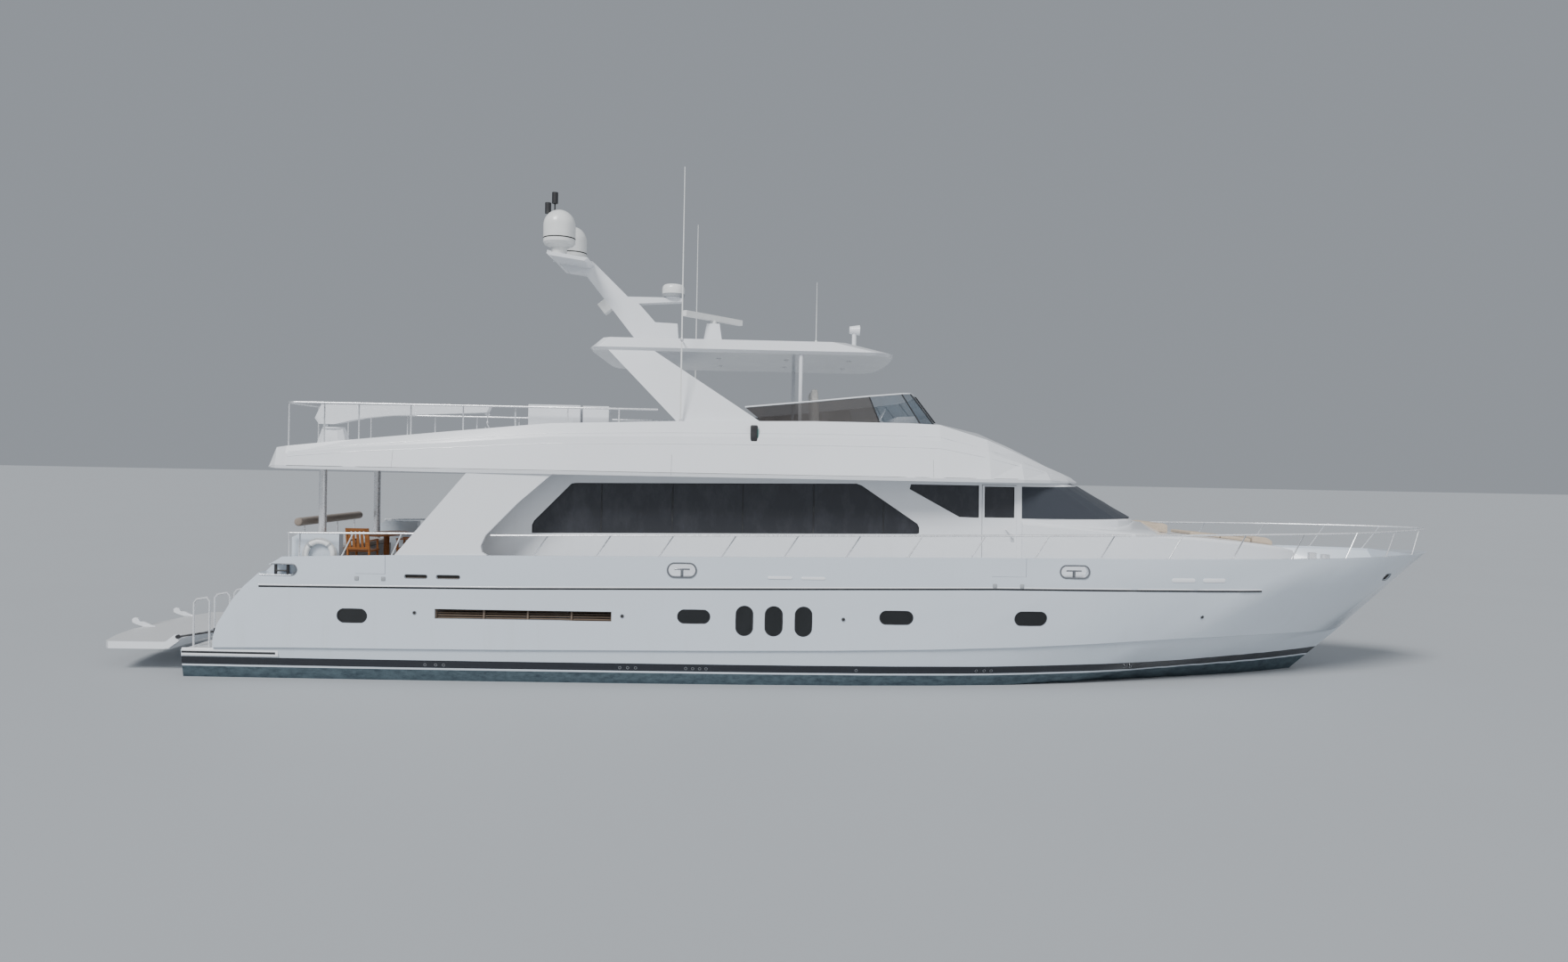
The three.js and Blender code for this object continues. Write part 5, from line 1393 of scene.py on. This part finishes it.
class YACHT_OT_cockpit(YachtOperator, bpy.types.Operator):
    """Cockpit furniture, cushions, bolster and life ring"""

    bl_idname = "yacht.cockpit"
    bl_label = "Cockpit"

    def build(self, colours, sizes):
        dressed("cockpit_table", "teak", bevel=0.008, degrees=50)
        for chair in ("armchair_1", "armchair_2"):
            dressed(chair, "teak", bevel=0.005, degrees=50)
        self.life_ring()
        self.bolster(sizes)
        self.cushions(sizes)

    @staticmethod
    def on_ring(radius, angle):
        return Vector((LIFE_RING_X + radius * math.cos(angle), LIFE_RING_Y, LIFE_RING_Z + radius * math.sin(angle)))

    def life_ring(self):
        ring = settle(added(
            bpy.ops.mesh.primitive_torus_add, major_radius=LIFE_RING_RADIUS, minor_radius=0.058, major_segments=64,
            minor_segments=20, location=(LIFE_RING_X, LIFE_RING_Y, LIFE_RING_Z), rotation=(math.pi / 2, 0, 0)))
        finish(ring, "life_ring_foam", "plastic", degrees=60)
        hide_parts("life_ring")
        bands, rope = [], []
        for i in range(4):
            angle = math.pi / 4 + i * math.pi / 2
            place = self.on_ring(LIFE_RING_RADIUS, angle)
            bands.append(disc(0.0600, 0.05, place, (-math.sin(angle), 0, math.cos(angle)), 24))
            points = []
            for k in range(13):
                a = angle + math.pi / 2 * k / 12
                reach = 0.352 + 0.012 * math.sin(math.pi * k / 12)
                points.append(self.on_ring(reach, a))
            rope.append(tube(points, 0.0065, sides=2))
        finish(joined(bands), "life_ring_bands", "grey", degrees=50)
        finish(joined(rope), "life_ring_rope", "pale_fabric", degrees=60)

    def bolster(self, sizes):
        roll = rod((BOLSTER_X, -1.86, 3.33), (BOLSTER_X, 1.86, 3.33), 0.096, 28, bevel=0.035)
        upholstered(roll, "settee_back_roll", 0.018, 0.010, finish_name="taupe")
        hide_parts("settee_bolster")

    def cushions(self, sizes):
        edges = (-1.61, -0.805, 0.0, 0.805, 1.61)
        for i, (y0, y1) in enumerate(zip(edges, edges[1:])):
            seat = block(-11.25, -10.73, y0 + 0.006, y1 - 0.006, 2.643, 2.752, 0.028, 3)
            upholstered(seat, f"settee_seat_{i + 1}", 0.016, sizes.cushion_crown * 0.45, floor=2.6405)
            if i == 0:
                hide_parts("settee_cushion")


WHEEL_PLACE = (1.66, -0.75, 5.95)
WHEEL_RAKE = math.radians(-62)
WHEEL_RADIUS = 0.30


class YACHT_OT_flybridge(YachtOperator, bpy.types.Operator):
    """Flybridge seats, helm and crane"""

    bl_idname = "yacht.flybridge"
    bl_label = "Flybridge"

    def build(self, colours, sizes):
        dressed("crane_head", "white", bevel=0.008, degrees=50)
        dressed("crane_boom", "white", bevel=0.022)
        self.crane_hook()
        self.helm_seat(sizes)
        self.settee(sizes)
        self.wheel()

    def crane_hook(self):
        x, y = -7.50, -1.40
        parts = [
            rod((x, y - 0.05, 5.885), (x, y + 0.05, 5.885), 0.050, 24, bevel=0.008),
            rod((x, y, 5.70), (x, y, 5.86), 0.010, 12),
            rod((x, y, 5.66), (x, y, 5.71), 0.026, 20, bevel=0.008),
            tube([
                (x, y, 5.67), (x, y, 5.62), (x + 0.035, y, 5.585), (x + 0.035, y, 5.55), (x, y, 5.525),
                (x - 0.04, y, 5.545), (x - 0.045, y, 5.575),
            ], 0.012, rounded=0.02),
        ]
        finish(joined(parts), "crane_hook", "stainless", "crane_boom", degrees=50)

    def helm_seat(self, sizes):
        base = block(0.17, 0.48, -1.30, -0.10, 4.8505, 5.262, 0.012)
        finish(base, "helm_seat_base", "white", slot="cushion_fabric")
        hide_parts("helm_seat")
        for i, y in enumerate((-1.49, -0.69)):
            seat = block(0.10, 0.59, y, y + 0.78, 5.275, 5.435, 0.04, 3)
            upholstered(seat, f"helm_cushion_{i + 1}", 0.017, sizes.cushion_crown * 0.6, floor=5.27)
            back = block(0.08, 0.22, y, y + 0.78, 5.30, 6.62, 0.04, 3)
            edit_points(back, lambda point: point.z > 5.9)
            bpy.ops.transform.translate(value=(-0.085, 0, 0))
            done()
            upholstered(back, f"helm_back_{i + 1}", 0.021, sizes.cushion_crown * 0.6)

    def settee(self, sizes):
        base = block(-3.6, -0.45, 1.72, 2.47, 4.8505, 5.19, 0.012)
        finish(base, "fly_settee_base", "white", slot="cushion_fabric")
        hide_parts("fly_settee")
        edges = (-3.59, -2.54, -1.50, -0.46)
        for i, (x0, x1) in enumerate(zip(edges, edges[1:])):
            seat = block(x0 + 0.006, x1 - 0.006, 1.71, 2.32, 5.20, 5.32, 0.035, 3)
            upholstered(seat, f"fly_seat_{i + 1}", 0.019, sizes.cushion_crown * 0.5, floor=5.195)
            back = block(x0 + 0.006, x1 - 0.006, 2.35, 2.465, 5.21, 5.69, 0.035, 3)
            upholstered(back, f"fly_back_{i + 1}", 0.018, sizes.cushion_crown * 0.5)

    def wheel(self):
        turn = Matrix.Translation(WHEEL_PLACE) @ Matrix.Rotation(WHEEL_RAKE, 4, "Y")
        parts = [added(
            bpy.ops.mesh.primitive_torus_add, major_radius=WHEEL_RADIUS, minor_radius=0.016, major_segments=48,
            minor_segments=12)]
        for i in range(5):
            angle = 2 * math.pi * i / 5
            rim = Vector((math.cos(angle), math.sin(angle), 0)) * (WHEEL_RADIUS - 0.005)
            parts.append(rod((0, 0, -0.02), rim, 0.010, 12))
        parts.append(turned([(0.05, -0.04), (0.055, -0.02), (0.05, 0.01), (0.03, 0.02)], 0, 0, 24))
        parts.append(rod((0, 0, -0.25), (0, 0, -0.03), 0.025, 16))
        finish(placed(joined(parts), turn), "helm_wheel", "stainless", degrees=50)


class YACHT_OT_foredeck(YachtOperator, bpy.types.Operator):
    """Sun pads, headrests and hatch"""

    bl_idname = "yacht.foredeck"
    bl_label = "Foredeck"

    def build(self, colours, sizes):
        dressed("foredeck_hatch", "white", bevel=0.010)
        pads = [(9.36, 10.11, -0.61, -0.005), (9.36, 10.11, 0.005, 0.61), (10.12, 10.87, -0.61, -0.005),
                (10.12, 10.87, 0.005, 0.61)]
        for i, (x0, x1, y0, y1) in enumerate(pads):
            self.pad(f"sun_pad_{i + 1}", x0, x1, y0, y1, ((9.0, 0.062), (11.0, 0.074)), sizes)
        roll = self.pad("sun_pad_roll", 10.91, 11.41, -0.61, 0.61, (
            (10.9, 0.10), (11.02, 0.142), (11.3, 0.145), (11.42, 0.09)), sizes)
        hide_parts("sunpad")
        edges = (-0.84, -0.28, 0.28, 0.84)
        for i, (y0, y1) in enumerate(zip(edges, edges[1:])):
            rest = self.pad(f"headrest_{i + 1}", 8.05, 8.72, y0 + 0.004, y1 - 0.004, (
                (8.0, 0.03), (8.07, 0.05), (8.57, 0.222), (8.73, 0.18)), sizes)
            if i == 0:
                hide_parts("headrest")

    @staticmethod
    def pad(name, x0, x1, y0, y1, heights, sizes):
        """A cushion lying on the trunk; heights are x, thickness."""
        pad = block(x0, x1, y0, y1, 0.0, 1.0)
        edit(pad, "VERT")
        bpy.ops.mesh.subdivide(number_cuts=6)
        done()
        for point in pad.data.vertices:
            x, y, share = point.co
            point.co.z = trunk_top(x, y) + 0.004 + share * along(heights, x)
        edit_faces(pad, lambda centre, normal: normal.z > 0.5)
        bpy.ops.mesh.region_to_loop()
        bevel_selected(0.022)
        return upholstered(pad, name, 0.020, sizes.cushion_crown * 0.4, finish_name="fabric")


def trunk_top(x, y):
    return cast("trunk", (x, y, 6.0), (0, 0, -1))[0].z


FLOOR_SIZE = 900
FLOOR_TONES = ((0.40, 0.42, 0.44), (0.42, 0.44, 0.46))
SKY = (0.72, 0.78, 0.86, 1)
SKY_STRENGTH = 0.42
# Sun lights: name, strength, apparent width in degrees, turn in degrees
SUNS = (("key", 3.3, 20, (46, 0, -30)), ("fill", 0.8, 60, (64, 0, 38)))


class YACHT_OT_stage(YachtOperator, bpy.types.Operator):
    """Pale floor at the waterline, soft lights and the camera"""

    bl_idname = "yacht.stage"
    bl_label = "Stage"

    def build(self, colours, sizes):
        floor = added(bpy.ops.mesh.primitive_plane_add, size=FLOOR_SIZE, location=(0, 0, 0))
        floor.name = "floor"
        shader = Shader("pale_floor")
        tone = shader.noise(0.15, 3)
        floor.data.materials.append(shader.surface(
            Base_Color=shader.mix(tone, *FLOOR_TONES), Roughness=0.6,
        ))
        world = bpy.data.worlds.new("soft_studio")
        bpy.context.scene.world = world
        world.use_nodes = True
        background = world.node_tree.nodes["Background"]
        background.inputs["Color"].default_value = SKY
        background.inputs["Strength"].default_value = SKY_STRENGTH
        for name, energy, angle, turn in SUNS:
            bpy.ops.object.light_add(type="SUN", rotation=[math.radians(a) for a in turn])
            light = bpy.context.object
            light.name = name
            light.data.energy = energy
            light.data.angle = math.radians(angle)
        bpy.ops.object.camera_add(location=CAMERA_PLACE)
        camera = bpy.context.object
        ahead = Vector((
            math.sin(CAMERA_YAW) * math.cos(CAMERA_PITCH), math.cos(CAMERA_YAW) * math.cos(CAMERA_PITCH),
            math.sin(CAMERA_PITCH),
        ))
        right = Vector((math.cos(CAMERA_YAW), -math.sin(CAMERA_YAW), 0))
        up = right.cross(ahead)
        c, s = math.cos(CAMERA_ROLL), math.sin(CAMERA_ROLL)
        axes = Matrix((c * right + s * up, c * up - s * right, -ahead)).transposed()
        camera.matrix_world = Matrix.Translation(CAMERA_PLACE) @ axes.to_4x4()
        camera.data.sensor_width = 36.0
        camera.data.lens = CAMERA_LENS
        camera.data.clip_end = 2000
        bpy.context.scene.camera = camera


class YACHT_PT_panel(bpy.types.Panel):
    """The yacht's operators, colours and sizes"""

    bl_label = "Motor yacht"
    bl_idname = "YACHT_PT_panel"
    bl_space_type = "VIEW_3D"
    bl_region_type = "UI"
    bl_category = "Yacht"

    def draw(self, context):
        for operator in OPERATORS:
            self.layout.operator(operator.bl_idname)
        for group in (context.scene.yacht_colours, context.scene.yacht_sizes):
            box = self.layout.box()
            for key in group.__annotations__:
                box.prop(group, key)


OPERATORS = (
    YACHT_OT_hull,
    YACHT_OT_hull_fittings,
    YACHT_OT_superstructure,
    YACHT_OT_glazing,
    YACHT_OT_mast,
    YACHT_OT_rails,
    YACHT_OT_stern,
    YACHT_OT_machinery,
    YACHT_OT_cockpit,
    YACHT_OT_flybridge,
    YACHT_OT_foredeck,
    YACHT_OT_stage,
)


def register():
    for each in (YachtColours, YachtSizes, *OPERATORS, YACHT_PT_panel):
        bpy.utils.register_class(each)
    bpy.types.Scene.yacht_colours = PointerProperty(type=YachtColours)
    bpy.types.Scene.yacht_sizes = PointerProperty(type=YachtSizes)


def unregister():
    del bpy.types.Scene.yacht_sizes
    del bpy.types.Scene.yacht_colours
    for each in reversed((YachtColours, YachtSizes, *OPERATORS, YACHT_PT_panel)):
        bpy.utils.unregister_class(each)


def main():
    register()
    make_finishes(bpy.context.scene.yacht_colours)
    for operator in OPERATORS:
        group, name = operator.bl_idname.split(".")
        getattr(getattr(bpy.ops, group), name)()


if __name__ == "__main__":
    main()
